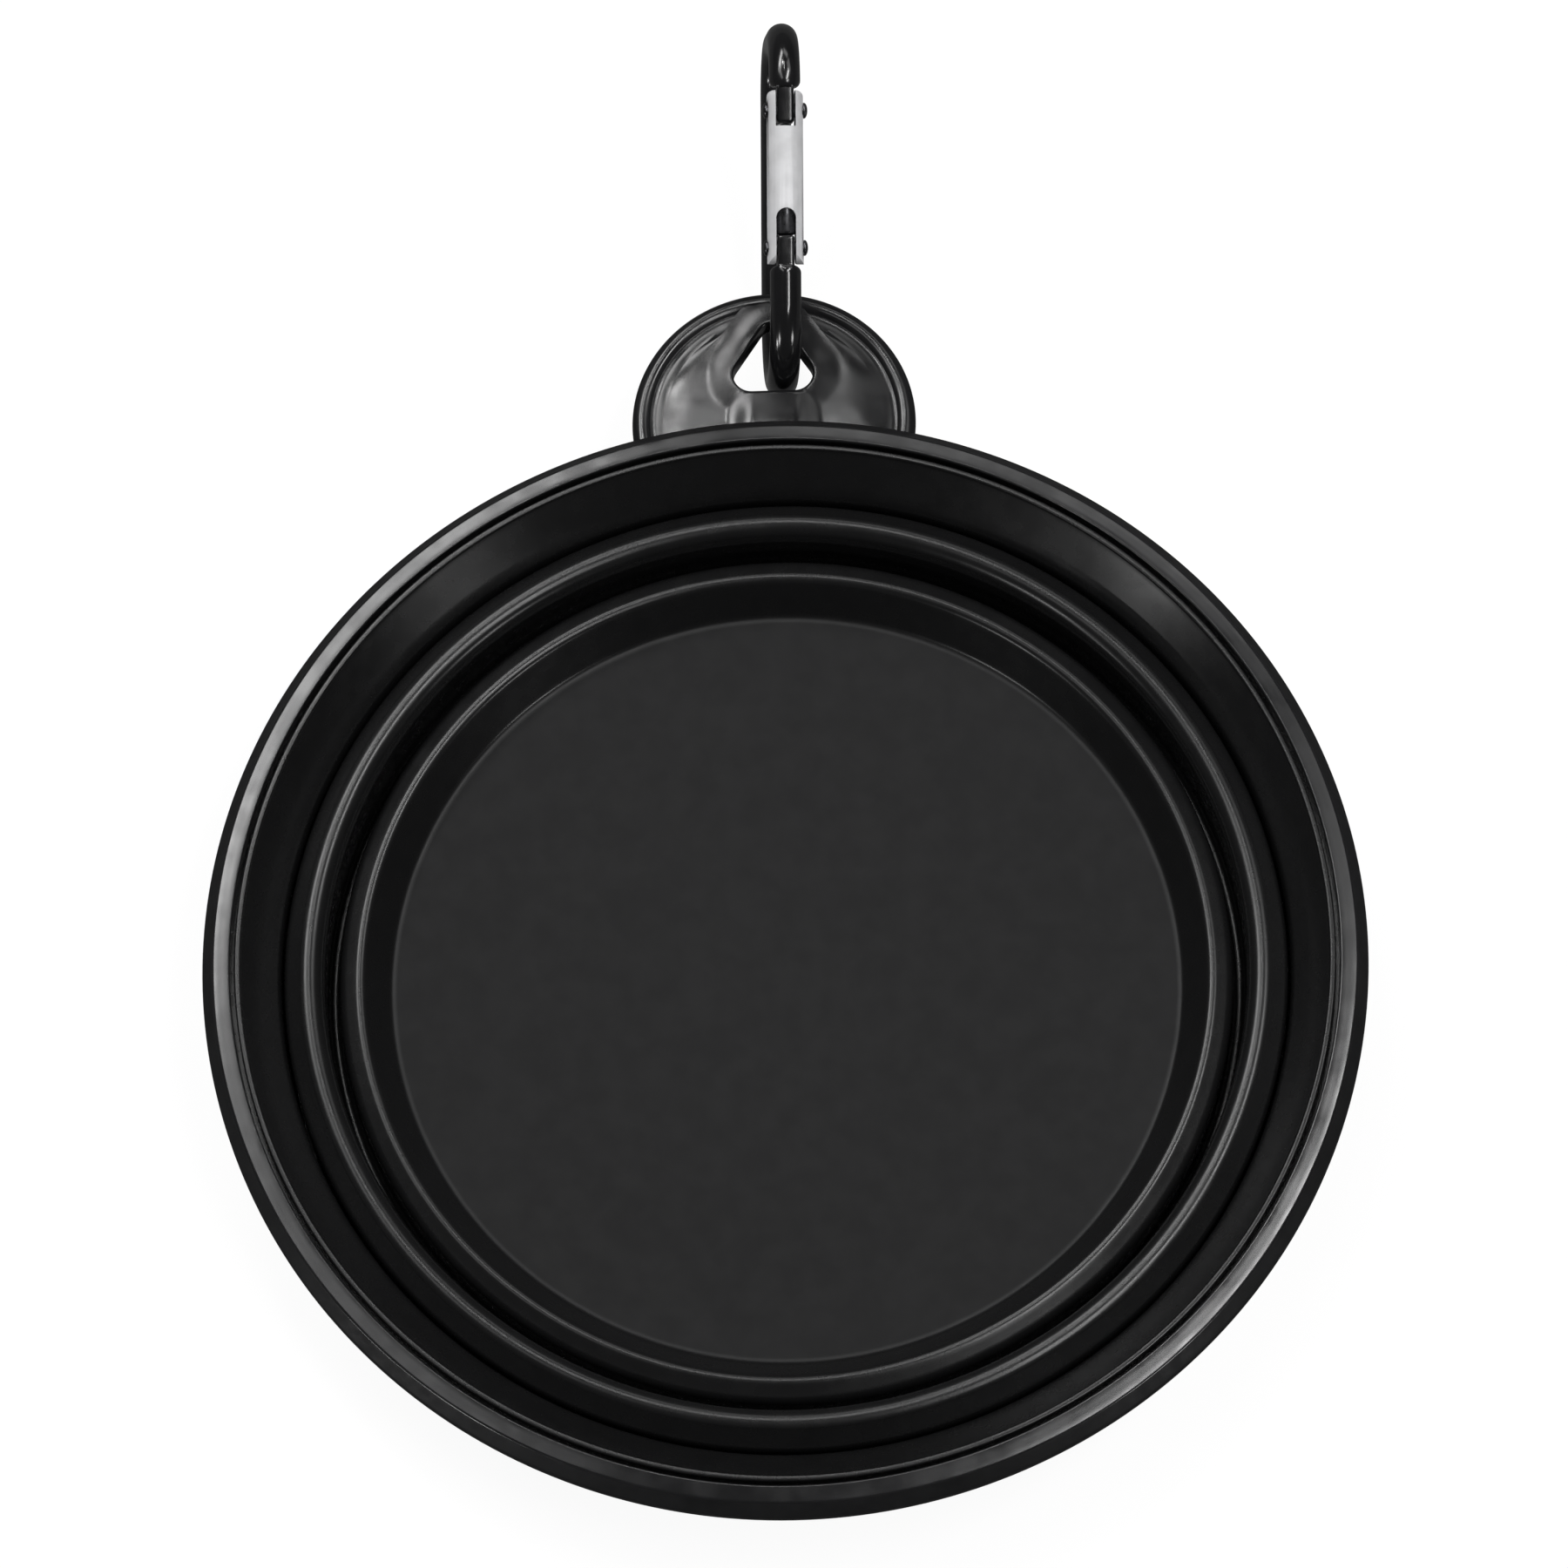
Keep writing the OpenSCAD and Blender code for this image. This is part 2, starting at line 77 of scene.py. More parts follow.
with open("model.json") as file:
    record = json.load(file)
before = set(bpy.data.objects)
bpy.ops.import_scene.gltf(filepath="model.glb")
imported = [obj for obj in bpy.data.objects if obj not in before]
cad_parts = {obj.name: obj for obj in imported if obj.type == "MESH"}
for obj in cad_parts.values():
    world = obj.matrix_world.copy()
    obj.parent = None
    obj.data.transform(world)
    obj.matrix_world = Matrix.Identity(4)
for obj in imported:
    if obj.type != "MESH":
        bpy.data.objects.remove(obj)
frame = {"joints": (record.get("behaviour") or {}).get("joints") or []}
CAD_LOW, CAD_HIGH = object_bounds()
JOINTS = {joint["name"]: joint for joint in frame["joints"]}
MM = 0.001
QUARTER = math.pi / 2
FULL = 2 * math.pi

# What the silicone and the rim frame share: the lip's distance in from the rim's edge, the flange's depth
# below the lip, and its thickness
LIP_INSET = 4.4 * MM
FLANGE_DROP = 3.7 * MM
FLANGE_T = 1.4 * MM
# What the clip's body and its gate share: the nose tongue's reach back from the latch pin
LATCH_TONGUE = 1.5 * MM


# Sizes and colours that a user would change

def measure(name, description, millimetres):
    """A length, given in millimetres."""
    return bpy.props.FloatProperty(
        name=name, description=description, default=millimetres * MM, unit="LENGTH")


def colour(name, description, value):
    """A colour, given in linear light."""
    return bpy.props.FloatVectorProperty(
        name=name, description=description, default=value, subtype="COLOR")


class BowlSizes(bpy.types.PropertyGroup):
    """Walls and folds of the silicone, and the rim frame"""
    tier_t: measure("Tier wall", "Wall of the stiff tiers", 1.6)
    fold_t: measure("Fold wall", "Wall of the thin fold rings", 0.9)
    hinge_t: measure("Hinge wall", "Wall where a tier meets a fold ring", 1.1)
    slot: measure("Slot", "Closed slot beside the upper fold ring", 0.35)
    crest_r: measure("Crest", "Centreline radius of the round crests", 0.9)
    lip_w: measure("Lip", "Width of the lip beside the rim frame", 0.7)
    groove_w: measure("Groove", "Dark groove between lip and rim frame", 0.45)
    band_w: measure("Band", "Width of the rim frame's top band", 1.9)
    floor_t: measure("Floor", "Thickness of the bowl's floor", 1.9)
    floor_z: measure("Floor height", "Height of the floor's inner face", 3.6)
    base_lean: bpy.props.FloatProperty(
        name="Lean", description="Lean of the base wall from upright", default=math.radians(30),
        subtype="ANGLE")
    segments: bpy.props.IntProperty(
        name="Segments", description="Steps round the bowl", default=288, min=48, max=512)


class TabSizes(bpy.types.PropertyGroup):
    """The half round tab and its hole"""
    radius: measure("Radius", "Radius of the tab's outline", 16.4)
    bead_d: measure("Bead", "Thickness of the round bead on the edge", 2.4)
    panel_t: measure("Panel", "Thickness of the panel", 1.8)
    bar_w: measure("Bar", "Bar between the hole and the edge", 4.25)
    hole_base: measure("Hole width", "Base of the hole before rounding", 13)
    hole_h: measure("Hole height", "Height of the hole before rounding", 9.9)
    collar_h: measure("Collar", "Height of the collar round the hole", 0.35)
    saddle_w: measure("Saddle", "Width of the saddle under the hole", 8.6)


class ClipSizes(bpy.types.PropertyGroup):
    """Rod, gate, pins and spring of the snap clip"""
    rod_d: measure("Rod", "Diameter of the rod", 3.6)
    gate_d: measure("Gate", "Diameter of the gate", 4.2)
    bore_d: measure("Bore", "Bore of the gate", 2.7)
    corner_r: measure("Corners", "Centreline radius of the top corners", 6)
    pin_d: measure("Pins", "Diameter of the two pins", 1.6)
    pin_span: measure("Pin span", "Hinge pin to latch pin", 15.8)
    tongue_w: measure("Tongue", "Thickness of the rod's flat ends", 2)
    wire_d: measure("Wire", "Wire of the gate's spring", 0.3)
    turns: bpy.props.IntProperty(
        name="Turns", description="Turns of the gate's spring", default=9, min=4, max=12)


class Finishes(bpy.types.PropertyGroup):
    """Colours of the object"""
    silicone: colour("Silicone", "Black silicone", (0.0065, 0.0065, 0.0067))
    plastic: colour("Rim frame", "Black moulded plastic", (0.009, 0.009, 0.0095))
    anodised: colour("Clip", "Black anodised metal", (0.006, 0.006, 0.0065))
    satin_metal: colour("Gate", "Satin silver metal", (0.6, 0.6, 0.61))
    dark_steel: colour("Pins", "Dark steel", (0.09, 0.09, 0.095))


# Outlines

def corner(before, at, after, radius, step=math.radians(9)):
    """Points of the arc that rounds one corner of an outline."""
    come, go = (at - before).normalized(), (after - at).normalized()
    bend = math.atan2(come.x * go.y - come.y * go.x, come.dot(go))
    least_bend = 1e-4
    if radius == 0 or abs(bend) < least_bend:
        return [at.copy()]
    side = math.copysign(1, bend)
    start = at - come * radius * math.tan(abs(bend) / 2)
    centre = start + Vector((-come.y, come.x)) * radius * side
    steps = max(2, math.ceil(abs(bend) / step))
    arm = start - centre
    return [centre + Matrix.Rotation(bend * k / steps, 2) @ arm for k in range(steps + 1)]


def rounded(points, closed=True):
    """Outline through (x, y, radius) points with every corner rounded by its own radius."""
    places = [Vector(p[:2]) for p in points]
    count, out = len(points), []
    for i, place in enumerate(places):
        if not closed and i in (0, count - 1):
            out.append(place)
        else:
            out += corner(places[i - 1], place, places[(i + 1) % count], points[i][2])
    return out


def divided(points, longest, closed=True):
    """The same outline with no run longer than a given length."""
    out = []
    ends = points[1:] + points[:1] if closed else points[1:]
    for a, b in zip(points, ends):
        steps = max(1, math.ceil((b - a).length / longest))
        out += [a.lerp(b, k / steps) for k in range(steps)]
    return out if closed else out + [points[-1]]


def smooth(share):
    """Eased step from 0 to 1."""
    share = min(max(share, 0), 1)
    return share * share * (3 - 2 * share)


def sheet(points, thicknesses):
    """Closed outline of a bent sheet: (x, y, radius) centreline points, each with its own thickness."""
    places = [Vector(p[:2]) for p in points]
    line = []
    for i, place in enumerate(places):
        arc = [place]
        if i not in (0, len(points) - 1):
            arc = corner(places[i - 1], place, places[i + 1], points[i][2])
        line += [(p, thicknesses[i]) for p in arc]
    left, right = [], []
    for i, (place, thickness) in enumerate(line):
        before, after = line[max(i - 1, 0)][0], line[min(i + 1, len(line) - 1)][0]
        along = (after - before).normalized()
        out = Vector((-along.y, along.x)) * thickness / 2
        left.append(place + out)
        right.append(place - out)
    return left + right[::-1]


def meet(a, along_a, b, along_b):
    """Where two lines cross, each given by a point and a direction."""
    off = b - a
    turn = along_a.x * along_b.y - along_a.y * along_b.x
    return a + along_a * (off.x * along_b.y - off.y * along_b.x) / turn


def quarter_turn(steps=8):
    """Even angles from 0 to a right angle."""
    return [QUARTER * k / steps for k in range(steps + 1)]


# Geometry Nodes

def wired(tree, *wires):
    """Joins sockets in a node tree: each wire is a node, its output, the next node and its input."""
    for source, out, target, into in wires:
        tree.links.new(source.outputs[out], target.inputs[into])


def new_tree(name, sockets):
    """Node tree with a geometry input and output and the named inputs between them."""
    tree = bpy.data.node_groups.new(name, "GeometryNodeTree")
    tree.interface.new_socket("Geometry", in_out="INPUT", socket_type="NodeSocketGeometry")
    for label, kind in sockets.items():
        tree.interface.new_socket(label, in_out="INPUT", socket_type=f"NodeSocket{kind}")
    tree.interface.new_socket("Material", in_out="INPUT", socket_type="NodeSocketMaterial")
    tree.interface.new_socket("Geometry", in_out="OUTPUT", socket_type="NodeSocketGeometry")
    return tree, tree.nodes.new("NodeGroupInput"), tree.nodes.new("NodeGroupOutput")


def finish_tree(tree, given, result, last, output):
    """Realizes, smooths and dresses the last node's geometry and hands it to the tree's output."""
    realize = tree.nodes.new("GeometryNodeRealizeInstances")
    soften = tree.nodes.new("GeometryNodeSetShadeSmooth")
    dress = tree.nodes.new("GeometryNodeSetMaterial")
    wired(tree,
          (last, output, realize, "Geometry"),
          (realize, "Geometry", soften, "Geometry"),
          (soften, "Geometry", dress, "Geometry"),
          (given, "Material", dress, "Material"),
          (dress, "Geometry", result, "Geometry"))
    return tree


def revolve_tree():
    """Tree that carries an outline round the bowl's axis."""
    tree, given, result = new_tree("Revolved outline", {"Radius": "Float", "Segments": "Int"})
    outline = tree.nodes.new("GeometryNodeMeshToCurve")
    circle = tree.nodes.new("GeometryNodeCurvePrimitiveCircle")
    upright = tree.nodes.new("GeometryNodeSetCurveNormal")
    upright.mode = "Z_UP"
    carry = tree.nodes.new("GeometryNodeCurveToMesh")
    close = tree.nodes.new("GeometryNodeMergeByDistance")
    seam_gap = 0.002 * MM
    close.inputs["Distance"].default_value = seam_gap
    wired(tree,
          (given, "Geometry", outline, "Mesh"),
          (given, "Radius", circle, "Radius"),
          (given, "Segments", circle, "Resolution"),
          (circle, "Curve", upright, "Curve"),
          (upright, "Curve", carry, "Curve"),
          (outline, "Curve", carry, "Profile Curve"),
          (carry, "Mesh", close, "Geometry"))
    return finish_tree(tree, given, result, close, "Geometry")


def coil_tree():
    """Tree that winds a wire into a coil along Z."""
    sockets = {"Turns": "Float", "Radius": "Float", "Length": "Float", "Wire": "Float", "Steps": "Int"}
    tree, given, result = new_tree("Wound wire", sockets)
    coil = tree.nodes.new("GeometryNodeCurveSpiral")
    wire = tree.nodes.new("GeometryNodeCurvePrimitiveCircle")
    wire_sides = 10
    wire.inputs["Resolution"].default_value = wire_sides
    carry = tree.nodes.new("GeometryNodeCurveToMesh")
    carry.inputs["Fill Caps"].default_value = True
    wired(tree,
          (given, "Turns", coil, "Rotations"),
          (given, "Radius", coil, "Start Radius"),
          (given, "Radius", coil, "End Radius"),
          (given, "Length", coil, "Height"),
          (given, "Steps", coil, "Resolution"),
          (given, "Wire", wire, "Radius"),
          (coil, "Curve", carry, "Curve"),
          (wire, "Curve", carry, "Profile Curve"))
    return finish_tree(tree, given, result, carry, "Mesh")


# Meshes

def mesh_object(name, points, faces=(), edges=()):
    """New object in the scene, at the origin, with its place in its mesh."""
    mesh = bpy.data.meshes.new(name)
    mesh.from_pydata([tuple(p) for p in points], edges, faces)
    piece = bpy.data.objects.new(name, mesh)
    bpy.context.scene.collection.objects.link(piece)
    return piece


def baked(piece):
    """Turns the piece's modifiers into its own mesh."""
    evaluated = piece.evaluated_get(bpy.context.evaluated_depsgraph_get())
    mesh = bpy.data.meshes.new_from_object(evaluated)
    piece.modifiers.clear()
    piece.data = mesh
    return piece


def grown(piece, tree, values):
    """Runs a node tree on the piece with the given inputs, and keeps its result as the mesh."""
    modifier = piece.modifiers.new(tree.name, "NODES")
    modifier.node_group = tree
    for item in tree.interface.items_tree:
        if item.in_out == "INPUT" and item.name in values:
            modifier[item.identifier] = values[item.name]
    return baked(piece)


def outward(piece, crease=math.radians(40)):
    """Points the faces of a closed mesh outwards and keeps its edges sharper than the crease."""
    work = bmesh.new()
    work.from_mesh(piece.data)
    bmesh.ops.recalc_face_normals(work, faces=work.faces)
    work.to_mesh(piece.data)
    work.free()
    piece.data.shade_smooth()
    piece.data.set_sharp_from_angle(angle=crease)
    return piece


def revolved(name, outline, material, closed=True):
    """Solid of revolution about the bowl's axis from (radius, height) points; the tree carries +y down."""
    path_r = CAD_HIGH.x
    points = [(p.x - path_r, -p.y, 0) for p in outline]
    count = len(points)
    edges = [(k, (k + 1) % count) for k in range(count if closed else count - 1)]
    piece = mesh_object(name, points, edges=edges)
    tree = bpy.data.node_groups.get("Revolved outline") or revolve_tree()
    segments = bpy.context.scene.bowl_sizes.segments
    grown(piece, tree, {"Radius": path_r, "Segments": segments, "Material": material})
    return outward(piece)


def cut(piece, cutter, operation="DIFFERENCE"):
    """Cuts one closed mesh with another and keeps the result."""
    modifier = piece.modifiers.new("cut", "BOOLEAN")
    modifier.operation = operation
    modifier.solver = "EXACT"
    modifier.object = cutter
    baked(piece)
    bpy.data.objects.remove(cutter)
    return piece


def dressed(piece, *names):
    """Gives a piece its finishes in order, in place of any that a cut left on it."""
    piece.data.materials.clear()
    for name in names:
        piece.data.materials.append(finish(name))
    return piece


def placed(piece, body, node):
    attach(piece, body)
    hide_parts(node)
    return piece


# Materials

def shader(name, **values):
    """New material and its main shader, with sockets named by keyword, a space as an underscore."""
    material = bpy.data.materials.new(name)
    material.use_nodes = True
    main = material.node_tree.nodes["Principled BSDF"]
    for key, value in values.items():
        main.inputs[key.replace("_", " ")].default_value = value
    return material, main


def add(material, kind, **values):
    """New node in a material, with its sockets set by keyword."""
    node = material.node_tree.nodes.new(f"ShaderNode{kind}")
    for key, value in values.items():
        node.inputs[key.replace("_", " ")].default_value = value
    return node


def product(material, a, b):
    """Two outputs multiplied, each a node and the name of its output."""
    node = add(material, "Math")
    node.operation = "MULTIPLY"
    wired(material.node_tree, (*a, node, 0), (*b, node, 1))
    return node.outputs["Value"]


def stretched(material, scale=(1, 1, 1)):
    """Object coordinates, scaled by a different amount on each axis."""
    place = add(material, "TexCoord")
    mapping = add(material, "Mapping", Scale=scale)
    wired(material.node_tree, (place, "Object", mapping, "Vector"))
    return mapping.outputs["Vector"]


def noise(material, cells, detail, stretch=(1, 1, 1)):
    """Noise on object coordinates, with its size in cells per metre."""
    node = add(material, "TexNoise", Scale=cells, Detail=detail)
    material.node_tree.links.new(stretched(material, stretch), node.inputs["Vector"])
    return node.outputs["Fac"]


def ramp(material, source, low, high):
    """Turns the middle of a noise's range into a value or a colour between two ends."""
    node = add(material, "ValToRGB")
    start, end = 0.35, 0.65
    stops = node.color_ramp.elements
    stops[0].position, stops[1].position = start, end
    for stop, value in zip(stops, (low, high)):
        stop.color = (*value, 1) if hasattr(value, "__len__") else (value, value, value, 1)
    material.node_tree.links.new(source, node.inputs["Fac"])
    return node.outputs["Color"]


def clouded(material, tint, cells, darkest, lightest):
    """A colour that drifts over the surface between two factors of itself."""
    low, high = (tuple(c * factor for c in tint) for factor in (darkest, lightest))
    return ramp(material, noise(material, cells, 4.0), low, high)


def blended(material, share, low, high):
    """Goes from one colour or value to another by a 0 to 1 share."""
    mix = add(material, "Mix")
    mix.data_type = "RGBA"
    for source, socket in ((share, "Factor"), (low, "A"), (high, "B")):
        material.node_tree.links.new(source, mix.inputs[socket])
    return mix.outputs["Result"]


def bumped(material, main, layers):
    """Stacks bump layers of (source, height in metres) on the main shader."""
    last, socket = None, "Normal"
    for source, height in layers:
        bump = add(material, "Bump", Strength=1.0, Distance=height)
        material.node_tree.links.new(source, bump.inputs["Height"])
        if last:
            wired(material.node_tree, (last, socket, bump, socket))
        last = bump
    wired(material.node_tree, (last, socket, main, socket))


def moulded(name, tint, tints, gloss, layers, **values):
    """A finish whose colour and roughness drift over the surface.

    tints is the colour's cells per metre, and its darkest and lightest factor. gloss is the roughness's cells
    per metre, its detail, and its lowest and highest value. Each bump layer is its cells per metre, its
    detail and its height.
    """
    material, main = shader(name, **values)
    links = material.node_tree.links
    links.new(clouded(material, tint, *tints), main.inputs["Base Color"])
    cells, detail, smoothest, roughest = gloss
    links.new(ramp(material, noise(material, cells, detail), smoothest, roughest), main.inputs["Roughness"])
    bumped(material, main, [(noise(material, cells, detail), height) for cells, detail, height in layers])
    return material


def silicone_finish(name):
    """Black silicone: satin walls with a fine moulded grain, and a more matt floor whose base colour is
    painted paler to stand for the brighter light that falls on it from above.
    """
    tint = bpy.context.scene.finishes.silicone
    material, main = shader(name, IOR=1.42, Roughness=0.42)
    tree = material.node_tree
    # The floor's share, which takes the matt roughness and the painted paler colour that stands for the
    # brighter light on it from above: none outside floor_out or under floor_low, and whole within floor_in
    # and over floor_high
    floor_out, floor_in = 44.8 * MM, 44.0 * MM
    floor_low, floor_high = 2.6 * MM, 2.9 * MM
    place, flat, reach = (add(material, kind) for kind in ("SeparateXYZ", "CombineXYZ", "VectorMath"))
    reach.operation = "LENGTH"
    inner = add(material, "MapRange", From_Min=floor_out, From_Max=floor_in)
    above = add(material, "MapRange", From_Min=floor_low, From_Max=floor_high)
    tree.links.new(stretched(material), place.inputs["Vector"])
    wired(tree,
          (place, "X", flat, "X"),
          (place, "Y", flat, "Y"),
          (flat, "Vector", reach, 0),
          (reach, "Value", inner, "Value"),
          (place, "Z", above, "Value"))
    share = product(material, (inner, "Result"), (above, "Result"))
    # Painted light: the floor's base colour is 1.5 to 1.6 times the tint, painted paler for the light that
    # falls on it from above
    wall, floor = clouded(material, tint, 260, 0.94, 1.06), clouded(material, tint, 260, 1.5, 1.6)
    tree.links.new(blended(material, share, wall, floor), main.inputs["Base Color"])
    satin = ramp(material, noise(material, 400, 5.0), 0.24, 0.29)
    dull = ramp(material, noise(material, 400, 5.0), 0.87, 0.93)
    tree.links.new(blended(material, share, satin, dull), main.inputs["Roughness"])
    grain, swell = noise(material, 2400, 2.0), noise(material, 160, 1.0)
    bumped(material, main, [(grain, 0.001 * MM), (swell, 0.03 * MM)])
    return material


def gloss_plastic(name, index, wave_height):
    """Black moulded plastic: glossy, with shallow flow waves that bend its reflections."""
    waves, grain = (110, 1.5, wave_height), (3800, 2.0, 0.0007 * MM)
    return moulded(name, bpy.context.scene.finishes.plastic, (90, 0.85, 1.2), (260, 6.0, 0.15, 0.25),
                   (waves, grain), IOR=index, Roughness=0.2)


def plastic_finish(name):
    """Plastic of the rim frame's ring."""
    return gloss_plastic(name, 1.5, 0.1 * MM)


def panel_finish(name):
    """Plastic of the tab, whose broad face is wavier than the ring's."""
    return gloss_plastic(name, 1.46, 0.36 * MM)


def matt_plastic_finish(name):
    """Black plastic of the rim's outer edge and skirt, which a fine texture dulls."""
    texture = (4200, 2.0, 0.006 * MM)
    return moulded(name, bpy.context.scene.finishes.plastic, (300, 0.7, 1.0), (700, 5.0, 0.42, 0.55),
                   (texture,), IOR=1.49, Roughness=0.5, Specular_IOR_Level=0.22)


def anodised_finish(name):
    """Black anodised metal of the clip: tight bright streaks and a faint drawn grain."""
    grain = (1500, 1.0, 0.001 * MM)
    return moulded(name, bpy.context.scene.finishes.anodised, (220, 0.8, 1.3), (700, 5.0, 0.12, 0.17),
                   (grain,), IOR=1.6, Roughness=0.1)


def satin_metal_finish(name):
    """Satin silver metal of the gate, brushed along its length."""
    material, main = shader(name, Metallic=0.2, Roughness=0.6)
    links = material.node_tree.links
    tint = clouded(material, bpy.context.scene.finishes.satin_metal, 400, 0.93, 1.07)
    links.new(tint, main.inputs["Base Color"])
    brushed = noise(material, 600, 4.0, stretch=(9, 0.6, 1.2))
    links.new(ramp(material, brushed, 0.54, 0.66), main.inputs["Roughness"])
    bumped(material, main, [(brushed, 0.004 * MM)])
    return material


def dark_steel_finish(name):
    """Dark steel of the pins, the plunger and the spring."""
    grain = (1800, 3.0, 0.004 * MM)
    return moulded(name, bpy.context.scene.finishes.dark_steel, (900, 0.8, 1.25), (1500, 4.0, 0.24, 0.4),
                   (grain,), Metallic=1.0, Roughness=0.3)


FINISH_MAKERS = {
    "Black_silicone": silicone_finish,
    "Black_plastic": plastic_finish,
    "Black_plastic_panel": panel_finish,
    "Black_plastic_matt": matt_plastic_finish,
    "Black_anodised": anodised_finish,
    "Satin_silver": satin_metal_finish,
    "Dark_steel": dark_steel_finish,
}


def finish(name):
    """A finish by name, made on first use."""
    return bpy.data.materials.get(name) or FINISH_MAKERS[name](name)


# Silicone moulding

class BOWL_OT_silicone(bpy.types.Operator):
    """Make the silicone moulding: three stiff tiers and the two fold rings between them"""
    bl_idname = "bowl.silicone"
    bl_label = "Silicone moulding"

    # Longest run of an outline
    longest = 0.45 * MM
    # Height of the lip's upright edge, and depth of the first fold line below the lip
    lip_edge = 0.3 * MM
    line_drop = 6 * MM
    # Ledge between the fold lines: its fall from the first line, and its run and rise to the crest
    ledge_fall = 0.3 * MM
    ledge_run = 3.35 * MM
    ledge_rise = 2.6 * MM
    # Gap between the lower fold ring and the middle tier, and the shoulder inside that ring: its depth below
    # the rim's top, its run and its fall
    lower_gap = 1.4 * MM
    shoulder_drop = 8.05 * MM
    shoulder_run = 1.75 * MM
    shoulder_fall = 0.8 * MM
    # Where a fold ring ends: above the bend under it, and past the round of the ledge and of the shoulder
    cut_above_bend = 0.1 * MM
    cut_past_crest = 0.15 * MM
    cut_past_shoulder = 0.1 * MM
    # Wall where the ledge is cut, as a share of the way from the fold wall to the tier wall
    ledge_wall_share = 0.35
    # Rounds of the upper tier: first fold line, lip, flange, outer wall, hinge and bend
    line_round = 2.2 * MM
    lip_rounds = (0.5 * MM, 0.2 * MM, 0.28 * MM)
    flange_rounds = (0.1 * MM, 0.2 * MM, 0.5 * MM)
    outer_round = 2.5 * MM
    hinge_round = 1 * MM
    bend_ease = 0.05 * MM
    # Rounds of the base cup: floor's edge, ridge, under the ridge, under the floor, and foot ring
    floor_round = 1 * MM
    ridge_round = 0.95 * MM
    armpit_round = 0.3 * MM
    under_round = 2 * MM
    foot_rounds = (0.4 * MM, 0.45 * MM)
    foot_inset = 2.6 * MM
    foot_w = 3 * MM

    def places(self, sizes):
        """Radii and heights of the folded wall, read from the frame and the wall sizes."""
        upper_fold, lower_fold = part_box("silicone_upper_fold"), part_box("silicone_lower_fold")
        upper_wall, middle_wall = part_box("silicone_upper_wall"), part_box("silicone_middle_wall")
        hinge_r = upper_fold[1].x - sizes.hinge_t / 2
        upper_r = hinge_r - sizes.hinge_t / 2
        return SimpleNamespace(
            hinge_r=hinge_r,
            upper_r=upper_r,
            upper_fold_r=upper_r - sizes.slot - sizes.fold_t / 2,
            middle_r=lower_fold[1].x - sizes.hinge_t / 2,
            flange_r=upper_wall[1].x,
            low_z=upper_fold[0].z + sizes.hinge_t / 2,
            lip_z=upper_wall[1].z,
            upper_cut_z=upper_wall[0].z,
            lower_cut_z=middle_wall[0].z,
            crest_cut_z=middle_wall[1].z,
            shoulder_z=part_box("rim_frame")[1].z - self.shoulder_drop)

    def execute(self, context):
        sizes = context.scene.bowl_sizes
        at = self.places(sizes)
        tier, fold, hinge = sizes.tier_t, sizes.fold_t, sizes.hinge_t
        lower_fold_r = at.middle_r - tier / 2 - self.lower_gap - fold / 2
        upper_bend = (at.hinge_r - at.upper_fold_r) / 2
        lower_bend = (at.middle_r - lower_fold_r) / 2
        upper_leg_z = at.low_z + upper_bend + self.cut_above_bend
        lower_leg_z = at.low_z + lower_bend + self.cut_above_bend
        ledge_z = at.lip_z - self.line_drop - self.ledge_fall
        crest = Vector((at.middle_r, ledge_z + self.ledge_rise))
        slope = Vector((self.ledge_run, -self.ledge_rise)).normalized()
        crest_turn = QUARTER + math.atan2(self.ledge_rise, self.ledge_run)
        ledge_cut = crest + slope * (sizes.crest_r * math.tan(crest_turn / 2) + self.cut_past_crest)
        ledge_t = fold + (tier - fold) * self.ledge_wall_share
        self.upper_tier(sizes, at, upper_bend, upper_leg_z)
        upper = sheet(
            [(at.upper_fold_r, upper_leg_z, 0), (at.upper_fold_r, ledge_z, sizes.crest_r), (*ledge_cut, 0)],
            [fold, fold, ledge_t])
        self.fold_ring("upper_fold_silicone", upper, "middle", "rim", ledge_cut.y - fold, upper_leg_z,
                       "silicone_upper_fold")
        middle = sheet(
            [(*ledge_cut, 0), (*crest, sizes.crest_r), (at.middle_r, at.crest_cut_z, 0),
             (at.middle_r, at.lower_cut_z, 0), (at.middle_r, at.low_z, lower_bend),
             (lower_fold_r, at.low_z, lower_bend), (lower_fold_r, lower_leg_z, 0)],
            [ledge_t, (fold + tier) / 2, tier, hinge, hinge, fold, fold])
        self.tier_piece("middle_tier_silicone", middle, "middle", "silicone_middle_wall")
        shoulder = Vector((lower_fold_r - self.shoulder_run, at.shoulder_z))
        edge = Vector((lower_fold_r, at.shoulder_z - self.shoulder_fall))
        rise = (shoulder - edge).normalized()
        bend = QUARTER - math.atan2(self.shoulder_fall, self.shoulder_run)
        shoulder_cut = edge + rise * (sizes.crest_r * math.tan(bend / 2) + self.cut_past_shoulder)
        lower = sheet(
            [(lower_fold_r, lower_leg_z, 0), (*edge, sizes.crest_r), (*shoulder_cut, 0)], [fold, fold, fold])
        self.fold_ring("lower_fold_silicone", lower, "base", "middle", edge.y - fold, lower_leg_z,
                       "silicone_lower_fold")
        self.base_cup(sizes, shoulder, shoulder_cut, rise)
        return {"FINISHED"}

    def tier_piece(self, name, outline, body, node):
        """A stiff tier, revolved from its closed outline."""
        piece = revolved(name, divided(outline, self.longest), finish("Black_silicone"))
        placed(piece, body, node)

    def fold_ring(self, name, outline, inner, outer, high, low, node):
        """A fold ring, revolved from its closed outline and baked where it stands."""
        piece = revolved(name, divided(outline, self.longest / 2), finish("Black_silicone"))
        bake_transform(piece)
        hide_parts(node)

